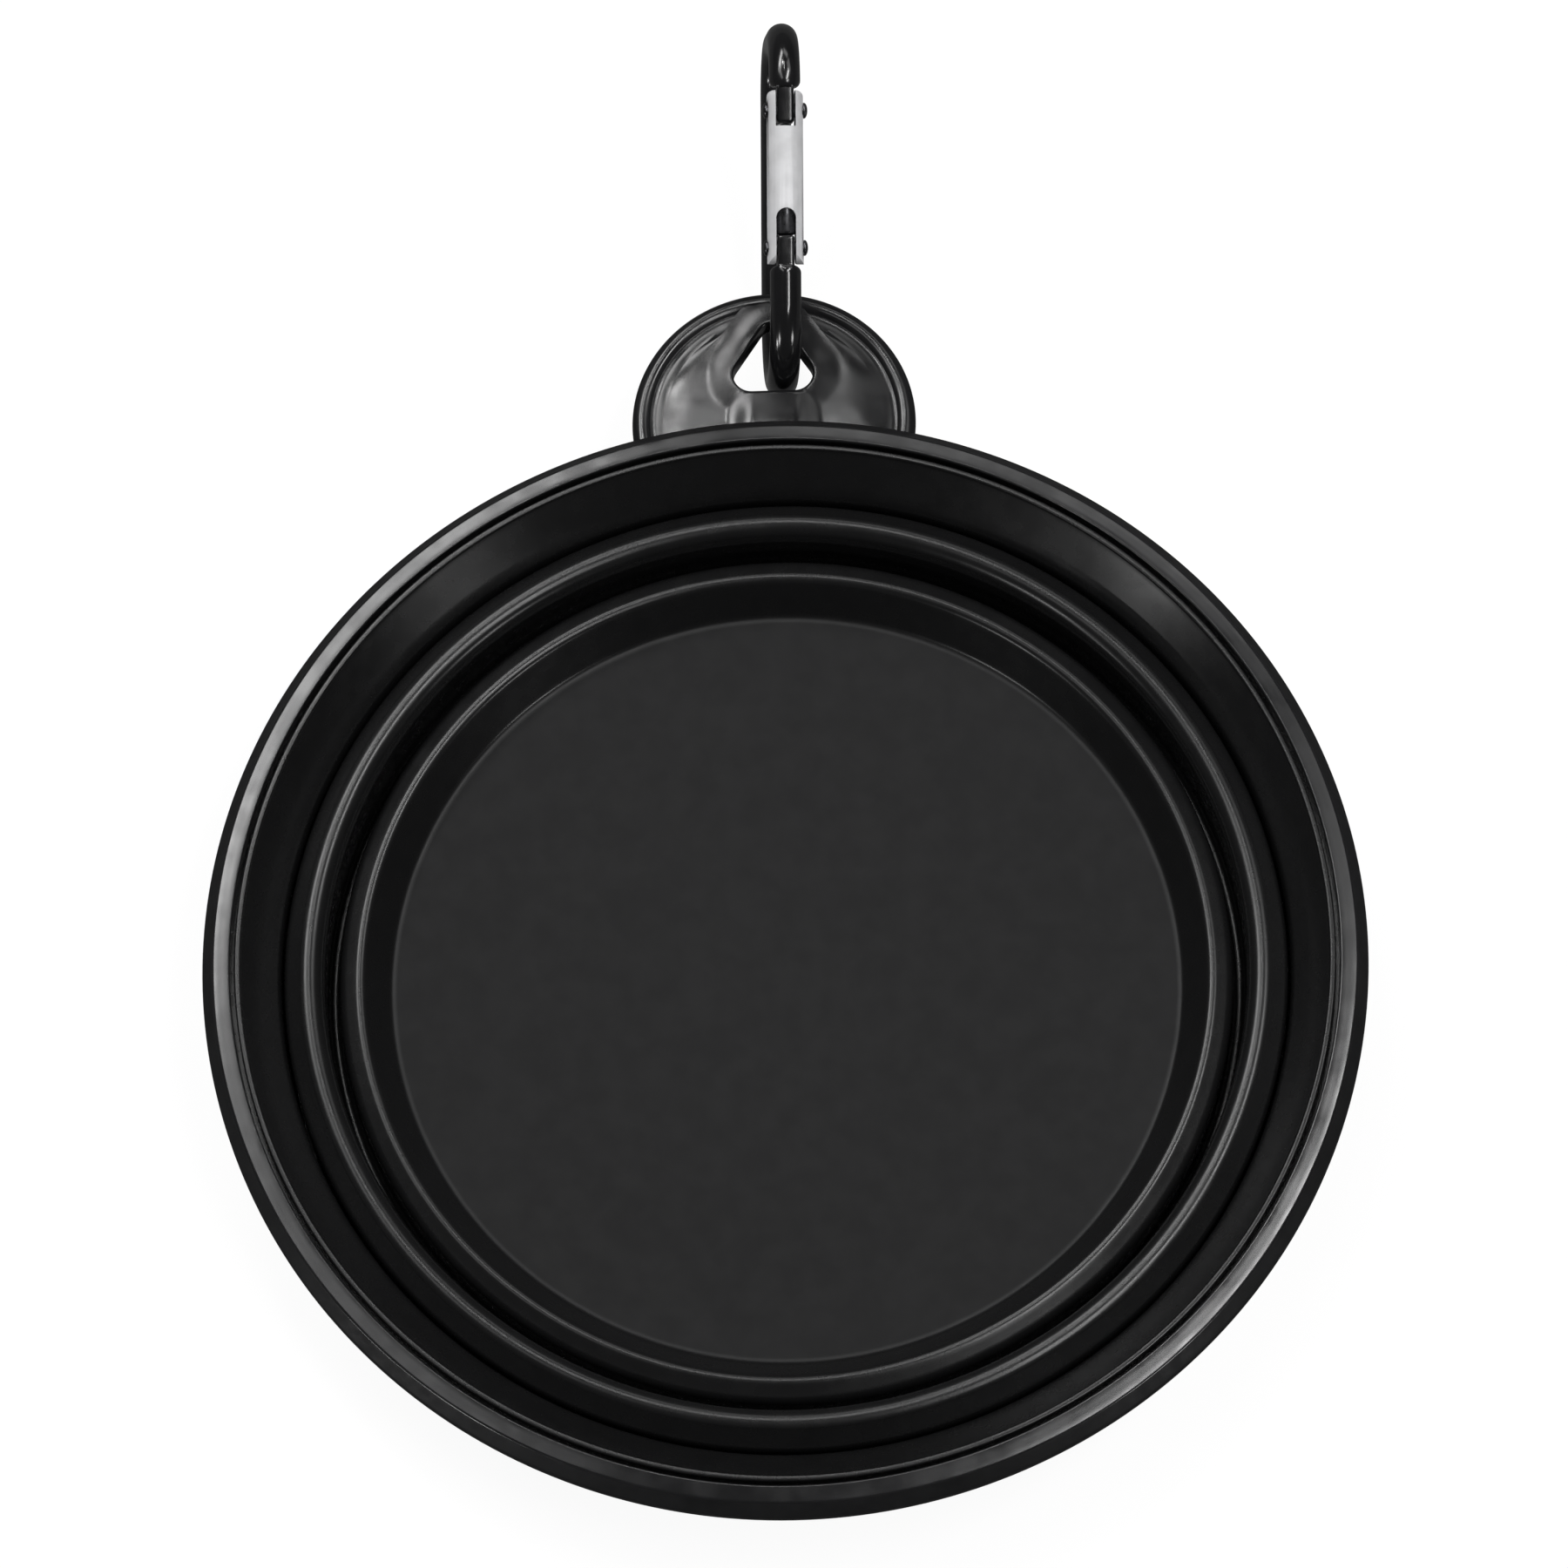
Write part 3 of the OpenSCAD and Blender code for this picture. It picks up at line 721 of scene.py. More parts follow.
    def upper_tier(self, sizes, at, bend, leg_z):
        """The lip, the flange, the sloping wall and the low bend under the first fold line."""
        tier, fold, hinge = sizes.tier_t, sizes.fold_t, sizes.hinge_t
        lip_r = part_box("rim_frame")[1].x - LIP_INSET
        out_r = lip_r + sizes.lip_w
        flange_z = at.lip_z - FLANGE_DROP
        line_z = at.lip_z - self.line_drop
        lean = (lip_r - at.upper_r) / (at.lip_z - self.lip_edge - line_z)
        level_t = tier * math.sqrt(1 + lean * lean)
        outer_r = at.upper_r + (flange_z - line_z) * lean + level_t
        low_z, high_z = at.low_z - hinge / 2, at.low_z + hinge / 2
        in_leg, out_leg = at.upper_fold_r - fold / 2, at.upper_fold_r + fold / 2
        self.tier_piece("upper_tier_silicone", rounded([
            (in_leg, leg_z, 0), (out_leg, leg_z, 0), (out_leg, high_z, sizes.slot / 2),
            (at.upper_r, high_z, sizes.slot / 2), (at.upper_r, line_z, self.line_round),
            (lip_r, at.lip_z - self.lip_edge, self.lip_rounds[0]), (lip_r, at.lip_z, self.lip_rounds[1]),
            (out_r, at.lip_z, self.lip_rounds[2]), (out_r, flange_z + FLANGE_T, 0),
            (at.flange_r, flange_z + FLANGE_T, self.flange_rounds[0]),
            (at.flange_r, flange_z, self.flange_rounds[1]), (outer_r, flange_z, self.flange_rounds[2]),
            (at.upper_r + tier, line_z - (level_t - tier) / lean, self.outer_round),
            (at.upper_r + hinge, at.upper_cut_z, self.hinge_round),
            (at.upper_r + hinge, low_z, bend + hinge / 2 - self.bend_ease),
            (in_leg, low_z, bend + fold / 2 - self.bend_ease)]), "rim", "silicone_upper_wall")

    def base_cup(self, sizes, shoulder, cut_at, rise):
        """The shoulder, the leaning wall, the floor and the foot ring."""
        half = sizes.tier_t / 2 / math.cos(sizes.base_lean)
        under_z = sizes.floor_z - sizes.floor_t
        across = Vector((rise.y, -rise.x)) * sizes.fold_t / 2
        up_wall = Vector((math.sin(sizes.base_lean), math.cos(sizes.base_lean)))

        def wall_r(z):
            return shoulder.x - (shoulder.y - z) * math.tan(sizes.base_lean)

        inner_r, outer_r = wall_r(sizes.floor_z) - half, wall_r(under_z) + half
        ridge = meet(cut_at + across, rise, Vector((inner_r, sizes.floor_z)), up_wall)
        armpit = meet(cut_at - across, rise, Vector((outer_r, under_z)), up_wall)
        foot_out = outer_r - self.foot_inset
        foot_in = foot_out - self.foot_w
        foot_top, foot_low = self.foot_rounds
        outline = rounded([
            (0, sizes.floor_z, 0), (inner_r, sizes.floor_z, self.floor_round), (*ridge, self.ridge_round),
            (*(cut_at + across), 0), (*(cut_at - across), 0), (*armpit, self.armpit_round),
            (outer_r, under_z, self.under_round), (foot_out, under_z, foot_top), (foot_out, 0, foot_low),
            (foot_in, 0, foot_low), (foot_in, under_z, foot_top), (0, under_z, 0)], closed=False)
        fine = divided(outline[1:-1], self.longest, closed=False)
        piece = revolved("base_cup_silicone", [outline[0]] + fine + [outline[-1]], finish("Black_silicone"),
                         closed=False)
        placed(piece, "base", "silicone_base_cup")


# Rim frame and tab

class BOWL_OT_rim_frame(bpy.types.Operator):
    """Make the hard ring round the lip and the half round tab on it"""
    bl_idname = "bowl.rim_frame"
    bl_label = "Rim frame and tab"

    # Longest run of the ring's outline
    longest = 0.6 * MM
    # Slot for the flange, the rib under it, and the skirt
    flange_gap = 0.15 * MM
    rib_inset = 0.2 * MM
    rib_h = 1.2 * MM
    rib_fall = 0.4 * MM
    skirt_t = 1.2 * MM
    skirt_inset = 1.2 * MM
    skirt_lean = 0.2 * MM
    # Depths below the rim's top: the band's outer edge, and the outer lip's upper, lower and inner corner
    band_fall = 0.3 * MM
    lip_depths = (1.9 * MM, 2.9 * MM, 3.3 * MM)
    # Rounds: the band's inner edge, the rib, the skirt, the outer lip, the shoulder, the band's outer edge
    band_in_round = 0.22 * MM
    rib_round = 0.3 * MM
    skirt_round = 0.4 * MM
    lip_round = 0.35 * MM
    shoulder_round = 0.8 * MM
    band_out_round = 0.5 * MM
    # The matt finish starts this far outside the band
    matt_from = 0.1 * MM

    # Tab: its middle's depth below the rim's top, and its root inside the ring
    tab_drop = 4 * MM
    root_in = 0.5 * MM
    root_follow_share = 0.1
    # Hole: the rounds of its base and of its tip, the round of its edge, and the width of the collar about it
    hole_rounds = (2.2 * MM, 1.6 * MM)
    hole_edge = 0.3 * MM
    collar_w = 3.2 * MM
    # Rise of the panel at the hole, which falls to nothing at the bead
    crown_h = 0.2 * MM
    # Centre of the spokes above the hole's base, and steps round the tab and along each spoke
    spoke_y = 3.8 * MM
    spokes = 360
    outline_steps = 180
    root_steps = 60
    hole_steps = 6
    collar_steps = 14
    panel_steps = 26
    # Steps that would go all round the bead's outer half, and how many of them show
    bead_steps = 18
    bead_shown = 15
    # Steps round the bead, each way from its outermost line, that take the matt finish
    matt_rings = 7
    # Shallow groove inside the bead: distance past the bead, and rise
    bead_groove = ((-0.25 * MM, -0.14 * MM), (0.05 * MM, -0.18 * MM), (0.45 * MM, -0.11 * MM),
                   (0.9 * MM, -0.03 * MM), (1.3 * MM, 0))
    # Saddle: its height, its slope towards the bowl, its start and ease at the hole, its flanks, and its bump
    saddle_h = 0.5 * MM
    saddle_slope = 0.06
    saddle_start = 0.5 * MM
    saddle_ease = 1 * MM
    flank_in = 2 * MM
    flank_w = 3.4 * MM
    bump_h = 0.1 * MM
    bump_w = 2.6 * MM

    def execute(self, context):
        self.ring(context.scene.bowl_sizes)
        self.tab(context.scene.tab_sizes)
        return {"FINISHED"}

    def ring(self, sizes):
        """The ring: a sloping band, a rounded shoulder, an outer lip and a skirt."""
        (low, high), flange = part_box("rim_frame"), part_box("silicone_upper_wall")[1]
        rim_r, top, bottom = high.x, high.z, low.z
        band_r = rim_r - LIP_INSET + sizes.lip_w + sizes.groove_w
        band_out, slot_r = band_r + sizes.band_w, flange.x + self.flange_gap
        flange_top = flange.z - FLANGE_DROP + FLANGE_T
        flange_low = flange_top - FLANGE_T
        skirt_r = rim_r - self.skirt_inset
        skirt_low = skirt_r - self.skirt_lean
        skirt_in = skirt_low - self.skirt_t
        rib_r, rib_z = band_r + self.rib_inset, flange_low - self.rib_h
        lip_high, lip_low, lip_in = (top - depth for depth in self.lip_depths)
        outline = rounded([
            (band_r, top, self.band_in_round), (band_r, flange_top, 0), (slot_r, flange_top, 0),
            (slot_r, flange_low, 0), (rib_r, flange_low, 0), (rib_r, rib_z, self.rib_round),
            (skirt_in, rib_z - self.rib_fall, self.rib_round), (skirt_in, bottom, self.skirt_round),
            (skirt_low, bottom, self.skirt_round), (skirt_r, lip_in, self.lip_round),
            (rim_r, lip_low, self.lip_round), (rim_r, lip_high, self.shoulder_round),
            (band_out, top - self.band_fall, self.band_out_round)])
        piece = revolved("rim_frame_ring", divided(outline, self.longest), finish("Black_plastic"))
        dressed(piece, "Black_plastic", "Black_plastic_matt")
        for face in piece.data.polygons:
            if face.center.xy.length > band_out + self.matt_from:
                face.material_index = 1
        placed(piece, "rim", "rim_frame")

    def hole(self, sizes, grow):
        """Outline of the three sided hole, grown outwards by an even width."""
        half_tip = math.atan(sizes.hole_base / 2 / sizes.hole_h)
        half = sizes.hole_base / 2 + grow / math.tan((QUARTER - half_tip) / 2)
        base = self.tip_y(sizes) - sizes.hole_h - grow
        tip = self.tip_y(sizes) + grow / math.sin(half_tip)
        base_r, tip_r = (radius + grow for radius in self.hole_rounds)
        return rounded([(-half, base, base_r), (half, base, base_r), (0, tip, tip_r)])

    def tip_y(self, sizes):
        """Where the hole's two upper sides would meet."""
        half_tip = math.atan(sizes.hole_base / 2 / sizes.hole_h)
        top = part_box("rim_frame")[1].y - sizes.bar_w
        return top + self.hole_rounds[1] / math.sin(half_tip) - self.hole_rounds[1]

    def edge(self, sizes, inset):
        """Outline of the tab, and its root inside the ring, drawn inwards by a width."""
        centre_y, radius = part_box("rim_frame")[1].y - sizes.radius, sizes.radius - inset
        root_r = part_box("silicone_upper_wall")[1].x + self.root_in - inset * self.root_follow_share
        meet_y = (root_r ** 2 - radius ** 2 + centre_y ** 2) / (2 * centre_y)
        meet_x = math.sqrt(root_r ** 2 - meet_y ** 2)
        start, root = math.atan2(meet_y - centre_y, meet_x), math.atan2(meet_y, meet_x)
        steps, back_steps = self.outline_steps, self.root_steps
        arc = [start + (math.pi - 2 * start) * k / steps for k in range(steps + 1)]
        back = [math.pi - root + (2 * root - math.pi) * k / back_steps for k in range(1, back_steps)]
        points = [Vector((radius * math.cos(a), centre_y + radius * math.sin(a))) for a in arc]
        return points + [Vector((root_r * math.cos(a), root_r * math.sin(a))) for a in back]

    def crossings(self, outline, centre):
        """Where the spokes from the centre cross an outline that turns once round it."""
        polar = sorted((math.atan2(p.y - centre.y, p.x - centre.x) % FULL, p.x, p.y) for p in outline)
        bearings = [bearing for bearing, _, _ in polar]
        out = []
        for k in range(self.spokes):
            turn = FULL * k / self.spokes
            ray = Vector((math.cos(turn), math.sin(turn)))
            i = bisect.bisect_right(bearings, turn)
            a, b = Vector(polar[i - 1][1:]), Vector(polar[i % len(polar)][1:])
            side, off = b - a, a - centre
            reach = (off.x * side.y - off.y * side.x) / (ray.x * side.y - ray.y * side.x)
            out.append(centre + ray * reach)
        return out

    def saddle(self, sizes, point, base_y):
        """Height of the saddle under the hole, with its low bump and its slope, over the panel's face."""
        reach = smooth((base_y + self.saddle_start - point.y) / self.saddle_ease)
        side = 1 - smooth((abs(point.x) - sizes.saddle_w / 2 + self.flank_in) / self.flank_w)
        bump = math.exp(-(point.x / self.bump_w) ** 2)
        climb = self.saddle_slope * max(0, base_y - point.y)
        return (self.saddle_h * side + self.bump_h * bump) * reach + climb * side

    def tab_rings(self, sizes, base_y):
        """Rings of points round the hole, each with its width past it, and round the tab, with its rise."""
        half, bead = sizes.panel_t / 2, sizes.bead_d / 2
        centre = Vector((0, base_y + self.spoke_y))
        grows = [self.hole_edge * (1 - math.cos(turn)) for turn in quarter_turn(self.hole_steps)]
        grows += [self.hole_edge + self.collar_w * k / self.collar_steps
                  for k in range(1, self.collar_steps + 1)]
        turns = [math.pi * k / self.bead_steps for k in range(self.bead_shown)]
        bead_rings = [(bead * (1 - math.cos(turn)), bead * math.sin(turn) - half) for turn in turns]
        bead_rings += [(2 * bead + inset, rise) for inset, rise in self.bead_groove]
        around_hole = [(self.crossings(self.hole(sizes, grow), centre), grow) for grow in grows]
        around_tab = [(self.crossings(self.edge(sizes, inset), centre), rise)
                      for inset, rise in reversed(bead_rings)]
        return around_hole, around_tab

    def spoke(self, sizes, k, around_hole, around_tab, base_y, mid_z):
        """Points of one spoke on the tab's face and on its back, from the hole's wall to the bead."""
        half = sizes.panel_t / 2
        top, below = [], []
        for ring, grow in around_hole:
            p = ring[k]
            level = max(0, self.hole_edge - grow)
            drop = self.hole_edge - math.sqrt(max(0, self.hole_edge ** 2 - level ** 2))
            collar = sizes.collar_h * (1 - smooth(grow / (self.hole_edge + self.collar_w)))
            raised = (collar ** 4 + self.saddle(sizes, p, base_y) ** 4) ** 0.25
            top.append((p.x, p.y, mid_z + half - drop + raised + self.crown_h))
            below.append((p.x, p.y, mid_z - half + drop - collar))
        start, stop = around_hole[-1][0][k], around_tab[0][0][k]
        for j in range(1, self.panel_steps + 1):
            share = j / (self.panel_steps + 1)
            p = start.lerp(stop, share)
            crown = self.crown_h * (1 - share ** 2)
            top.append((p.x, p.y, mid_z + half + self.saddle(sizes, p, base_y) + crown))
            below.append((p.x, p.y, mid_z - half))
        for ring, rise in around_tab:
            p = ring[k]
            raised = self.saddle(sizes, p, base_y) * min(max(1 + rise / half, 0), 1)
            top.append((p.x, p.y, mid_z + half + rise + raised))
            below.append((p.x, p.y, mid_z - half - rise))
        return top, below

    def tab(self, sizes):
        """The tab as one skin of spokes from the hole's wall over collar, panel and bead and back below."""
        base_y = self.tip_y(sizes) - sizes.hole_h
        mid_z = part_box("rim_frame")[1].z - self.tab_drop
        rings = self.tab_rings(sizes, base_y)
        points, faces = [], []
        for k in range(self.spokes):
            top, below = self.spoke(sizes, k, *rings, base_y, mid_z)
            points += top + below[-2::-1]
        count = len(points) // self.spokes
        for k in range(self.spokes):
            a, b = k * count, (k + 1) % self.spokes * count
            for j in range(count):
                n = (j + 1) % count
                faces.append((a + j, b + j, b + n, a + n))
        piece = mesh_object("hanging_tab", points, faces)
        dressed(piece, "Black_plastic_panel", "Black_plastic_matt")
        for face in piece.data.polygons:
            if abs(face.index % count - len(top)) < self.matt_rings:
                face.material_index = 1
        outward(piece)
        placed(piece, "rim", "rim_frame")


# Snap clip

def clip_place():
    """Matrix from the clip's flat drawing to its place: x along it from the swing axis, y to the gate."""
    swing, slide = JOINTS["clip_swing"], JOINTS["plunger_slide"]
    across, along = Vector(swing["axis"]).normalized(), Vector(slide["axis"]).normalized()
    gate_side = across.cross(along).normalized()
    matrix = Matrix((along, gate_side, across)).transposed().to_4x4()
    matrix.translation = Vector(swing["pos_m"])
    return matrix


def hinge_place():
    """Place of the gate's hinge pin in the clip's flat drawing: along it, and out from its middle."""
    point = clip_place().inverted() @ Vector(JOINTS["gate_open"]["pos_m"])
    return point.x, point.y


def put_in_place(piece):
    """Carries a piece from the clip's flat drawing to its place, in its mesh."""
    piece.data.transform(clip_place())
    return piece


def skin(name, rings):
    """Closed mesh through rings of as many points each, with a flat face on both ends."""
    sides = len(rings[0])
    faces = []
    for i in range(len(rings) - 1):
        for k in range(sides):
            n = (k + 1) % sides
            faces.append((i * sides + k, i * sides + n, (i + 1) * sides + n, (i + 1) * sides + k))
    last = (len(rings) - 1) * sides
    faces += [tuple(range(sides)), tuple(range(last, last + sides))]
    return outward(mesh_object(name, [point for ring in rings for point in ring], faces))


def rod_along(name, points, sides=48):
    """Closed solid of revolution about a line along x, from (place along, radius) points."""
    turns = [FULL * k / sides for k in range(sides)]
    return skin(name, [[(x, radius * math.cos(a), radius * math.sin(a)) for a in turns]
                       for x, radius in points])


def block(name, low, high):
    """Closed box between two corners, for a cut."""
    x, y, z = zip(low, high)
    verts = [(x[i], y[j], z[k]) for i in (0, 1) for j in (0, 1) for k in (0, 1)]
    faces = [(0, 1, 3, 2), (4, 6, 7, 5), (0, 4, 5, 1), (2, 3, 7, 6), (0, 2, 6, 4), (1, 5, 7, 3)]
    return outward(mesh_object(name, verts, faces))


def bar_across(name, x, y, radius, half_length):
    """Closed cylinder across the clip, for a cut."""
    piece = rod_along(name, [(-half_length, radius), (half_length, radius)])
    piece.data.transform(Matrix.Translation((x, y, 0)) @ Matrix.Rotation(QUARTER, 4, "Y"))
    return piece


class BOWL_OT_clip_body(bpy.types.Operator):
    """Make the clip's bent rod with its two flat tongues"""
    bl_idname = "bowl.clip_body"
    bl_label = "Clip body"

    # Tongue at the hinge: its flat end and its knuckle, each side of the pin
    cam_flat = 1.45 * MM
    knuckle = 2.1 * MM
    # Tongue at the nose: its reach past the latch pin to the round rod, and from there to the corner
    nose_over = 2.6 * MM
    nose_gap = 0.3 * MM
    tongue_half_h = 1.43 * MM
    pin_fit = 0.05 * MM
    notch_fit = 0.12 * MM
    # Length over which a tongue swells into the rod, and rounding of its free end
    shoulder = 0.75 * MM
    soft = 0.35 * MM
    # Edges that turn more than this stay sharp
    crease = math.radians(50)
    # Powers of the rod's cross section, as a superellipse: round, and nearly square on the tongues
    round_power = 2
    flat_power = 6
    # Sides of the rod, and its sections along the hinge side, bow, spine, a corner, the top and the nose
    sides = 48
    steps = SimpleNamespace(hinge=56, bow=64, spine=40, corner=32, top=10, nose=40)

    def execute(self, context):
        sizes = context.scene.clip_sizes
        hinge_x, bow_r = hinge_place()
        latch_x = hinge_x + sizes.pin_span
        path = self.path(sizes, hinge_x + self.cam_flat, latch_x - LATCH_TONGUE, bow_r,
                         latch_x + self.nose_over + self.nose_gap)
        piece = self.loft(sizes, path)
        cut(piece, bar_across("bore", hinge_x, bow_r, sizes.pin_d / 2 + self.pin_fit, sizes.rod_d))
        notch_r = sizes.pin_d / 2 + self.notch_fit
        cut(piece, bar_across("notch", latch_x, bow_r, notch_r, sizes.rod_d))
        cut(piece, block("notch_mouth", (latch_x - notch_r, bow_r - sizes.rod_d, -sizes.rod_d),
                         (latch_x + notch_r, bow_r, sizes.rod_d)))
        outward(dressed(piece, "Black_anodised"), self.crease)
        placed(put_in_place(piece), "clip", "clip_body")
        return {"FINISHED"}

    def path(self, sizes, start_x, end_x, bow_r, corner_x):
        """Centreline stations from the hinge tongue's end to the nose tongue's: (point, direction)."""
        def line(ax, ay, bx, by, steps):
            a, b = Vector((ax, ay)), Vector((bx, by))
            along = (b - a).normalized()
            return [(a.lerp(b, k / steps), along) for k in range(steps)]

        def arc(x, y, radius, start, end, steps):
            turns = [start + (end - start) * k / steps for k in range(steps)]
            way = math.copysign(1, end - start)
            return [(Vector((x, y)) + Vector((math.cos(a), math.sin(a))) * radius,
                     Vector((-math.sin(a), math.cos(a))) * way) for a in turns]

        radius, steps = sizes.corner_r, self.steps
        corner_y, top_x = bow_r - radius, corner_x + radius
        out = line(start_x, bow_r, 0, bow_r, steps.hinge)
        out += arc(0, 0, bow_r, QUARTER, 3 * QUARTER, steps.bow)
        out += line(0, -bow_r, corner_x, -bow_r, steps.spine)
        out += arc(corner_x, -corner_y, radius, -QUARTER, 0, steps.corner)
        out += line(top_x, -corner_y, top_x, corner_y, steps.top)
        out += arc(corner_x, corner_y, radius, 0, QUARTER, steps.corner)
        out += line(corner_x, bow_r, end_x, bow_r, steps.nose)
        return out + [(Vector((end_x, bow_r)), out[-1][1])]

    def section(self, sizes, reach, tongue):
        """Half width, half height and squareness of the rod at a distance from a tongue's free end."""
        wide, high, rod = sizes.tongue_w / 2, self.tongue_half_h, sizes.rod_d / 2
        if reach < tongue:
            inset = max(0, 1 - reach / self.soft)
            trim = self.soft * (1 - math.sqrt(max(0, 1 - inset * inset)))
            return wide - trim, high - trim, self.flat_power
        share = min((reach - tongue) / self.shoulder, 1)
        rise = math.sqrt(max(0, 1 - (1 - share) ** 2))
        power = self.round_power + (self.flat_power - self.round_power) * (1 - rise) ** 2
        return wide + (rod - wide) * rise, high + (rod - high) * rise, power

    def loft(self, sizes, path):
        """The rod as one closed skin of sections along its path."""
        hinge_tongue = self.cam_flat + self.knuckle
        nose_tongue = LATCH_TONGUE + self.nose_over
        reaches = [0.0]
        for (a, _), (b, _) in zip(path, path[1:]):
            reaches.append(reaches[-1] + (b - a).length)
        rings = []
        for (place, along), reach in zip(path, reaches):
            left = reaches[-1] - reach
            near, tongue = (reach, hinge_tongue) if reach < left else (left, nose_tongue)
            wide, high, power = self.section(sizes, near, tongue)
            side = Vector((-along.y, along.x))
            ring = []
            for k in range(self.sides):
                a = FULL * (k + 0.5) / self.sides
                c, s = math.cos(a), math.sin(a)
                across = wide * math.copysign(abs(c) ** (2 / power), c)
                out = side * high * math.copysign(abs(s) ** (2 / power), s)
                ring.append((place.x + out.x, place.y + out.y, across))
            rings.append(ring)
        return skin("clip_body_rod", rings)


class BOWL_OT_gate(bpy.types.Operator):
    """Make the gate's slotted tube, its two pins, its plunger and its spring"""
    bl_idname = "bowl.gate"
    bl_label = "Gate, pins and spring"

    # Tube: its round hinge end, its reach past the latch pin, its rounded latch end, its slots, the wall
    # between its bore and the latch slot, and its softened edges
    knuckle_r = 1.9 * MM
    gate_over = 2.3 * MM
    end_r = 0.75 * MM
    tube_sides = 64
    slot_reach = 4.5 * MM
    slot_fit = 0.3 * MM
    tongue_room = 0.4 * MM
    bore_wall = 0.8 * MM
    edge_w = 0.08 * MM
    edge_steps = 2
    edge_angle = math.radians(50)
    # Pins: how far they stand proud, and the base, step and width of their heads
    pin_proud = 0.5 * MM
    head_base = 0.1 * MM
    head_step = 0.02 * MM
    head_share = 1.12
    # Plunger: its start past the hinge pin, its fit, its nose as (along, in) points, its length and spigot
    plunger_from = 1.5 * MM
    plunger_fit = 0.05 * MM
    plunger_nose = ((0, 0.35 * MM), (0.1 * MM, 0.12 * MM), (0.35 * MM, 0))
    plunger_l = 3.6 * MM
    spigot_r = 0.6 * MM
    spigot_l = 0.7 * MM
    spigot_round = 0.1 * MM
    # Spring: the radius of its coil, and its steps for each turn
    coil_r = 1 * MM
    coil_steps = 32

    def execute(self, context):
        sizes = context.scene.clip_sizes
        hinge_x, bow_r = hinge_place()
        latch_x = hinge_x + sizes.pin_span
        self.tube(sizes, hinge_x, latch_x, bow_r)
        self.pin(sizes, "hinge_pin", hinge_x, bow_r, "gate_hinge_pin")
        self.pin(sizes, "latch_pin", latch_x, bow_r, "gate_latch_pin")
        self.plunger(sizes, hinge_x, bow_r)
        self.spring(sizes, hinge_x, latch_x, bow_r)
        return {"FINISHED"}

    def tube(self, sizes, hinge_x, latch_x, bow_r):
        """The gate: a tube with a slot at each end, a round hinge end and a domed latch end."""
        wide, half, end = sizes.gate_d, sizes.gate_d / 2, latch_x + self.gate_over
        points = [(hinge_x - half, half)]
        points += [(end - self.end_r * (1 - math.sin(a)), half - self.end_r * (1 - math.cos(a)))
                   for a in quarter_turn()]
        piece = rod_along("gate_tube", points, self.tube_sides)
        keep = bar_across("keep", hinge_x, 0, self.knuckle_r, 2 * wide)
        cut(keep, block("rest", (hinge_x, -wide, -wide), (end + wide, wide, wide)), "UNION")
        cut(piece, keep, "INTERSECT")
        slot = (sizes.tongue_w + self.slot_fit) / 2
        round_x = hinge_x + self.slot_reach - slot
        high_x = latch_x - LATCH_TONGUE - self.tongue_room
        bore = [(hinge_x - half, sizes.bore_d / 2), (high_x - self.bore_wall, sizes.bore_d / 2)]
        round_end = rod_along("slot_end", [(-wide, slot), (wide, slot)])
        round_end.data.transform(Matrix.Translation((round_x, 0, 0)) @ Matrix.Rotation(QUARTER, 4, "Z"))
        cut(piece, rod_along("bore", bore))
        cut(piece, block("low_slot", (hinge_x - wide, -wide, -slot), (round_x, wide, slot)))
        cut(piece, round_end)
        cut(piece, block("high_slot", (high_x, -wide, -slot), (end + wide, wide, slot)))
        for place in (hinge_x, latch_x):
            cut(piece, bar_across("pin_hole", place, 0, sizes.pin_d / 2, wide))
        edge = piece.modifiers.new("edges", "BEVEL")
        edge.width = self.edge_w
        edge.segments = self.edge_steps
        edge.limit_method = "ANGLE"
        edge.angle_limit = self.edge_angle
        outward(dressed(baked(piece), "Satin_silver"))
        piece.data.transform(Matrix.Translation((0, bow_r, 0)))
        placed(put_in_place(piece), "gate", "clip_gate")

    def pin(self, sizes, name, place, bow_r, node):
        """A pin with a low domed head on both ends."""
        half, radius = sizes.gate_d / 2, sizes.pin_d / 2
        head, dome_h = self.head_share * radius, self.pin_proud - self.head_base
        side = [(half - self.head_base, radius), (half, radius), (half + self.head_step, head)]
        side += [(half + self.head_base + dome_h * math.sin(a), head * math.cos(a) + self.head_step)
                 for a in quarter_turn()]
        points = [(-x, r) for x, r in reversed(side)] + side
        piece = dressed(rod_along(name, points), "Dark_steel")
        piece.data.transform(Matrix.Translation((place, bow_r, 0)) @ Matrix.Rotation(QUARTER, 4, "Y"))
        placed(put_in_place(piece), "gate", node)

    def plunger(self, sizes, hinge_x, bow_r):
        """The plunger, with a spigot that centres the spring."""
        start, radius = hinge_x + self.plunger_from, sizes.bore_d / 2 - self.plunger_fit
        step = start + self.plunger_l
        tip = step + self.spigot_l
        points = [(start + along, radius - inset) for along, inset in self.plunger_nose]
        points += [(step, radius), (step, self.spigot_r), (tip, self.spigot_r),
                   (tip + self.spigot_round, self.spigot_r - self.spigot_round)]
        piece = dressed(rod_along("plunger", points), "Dark_steel")
        piece.data.transform(Matrix.Translation((0, bow_r, 0)))
        placed(put_in_place(piece), "plunger", "spring_plunger")

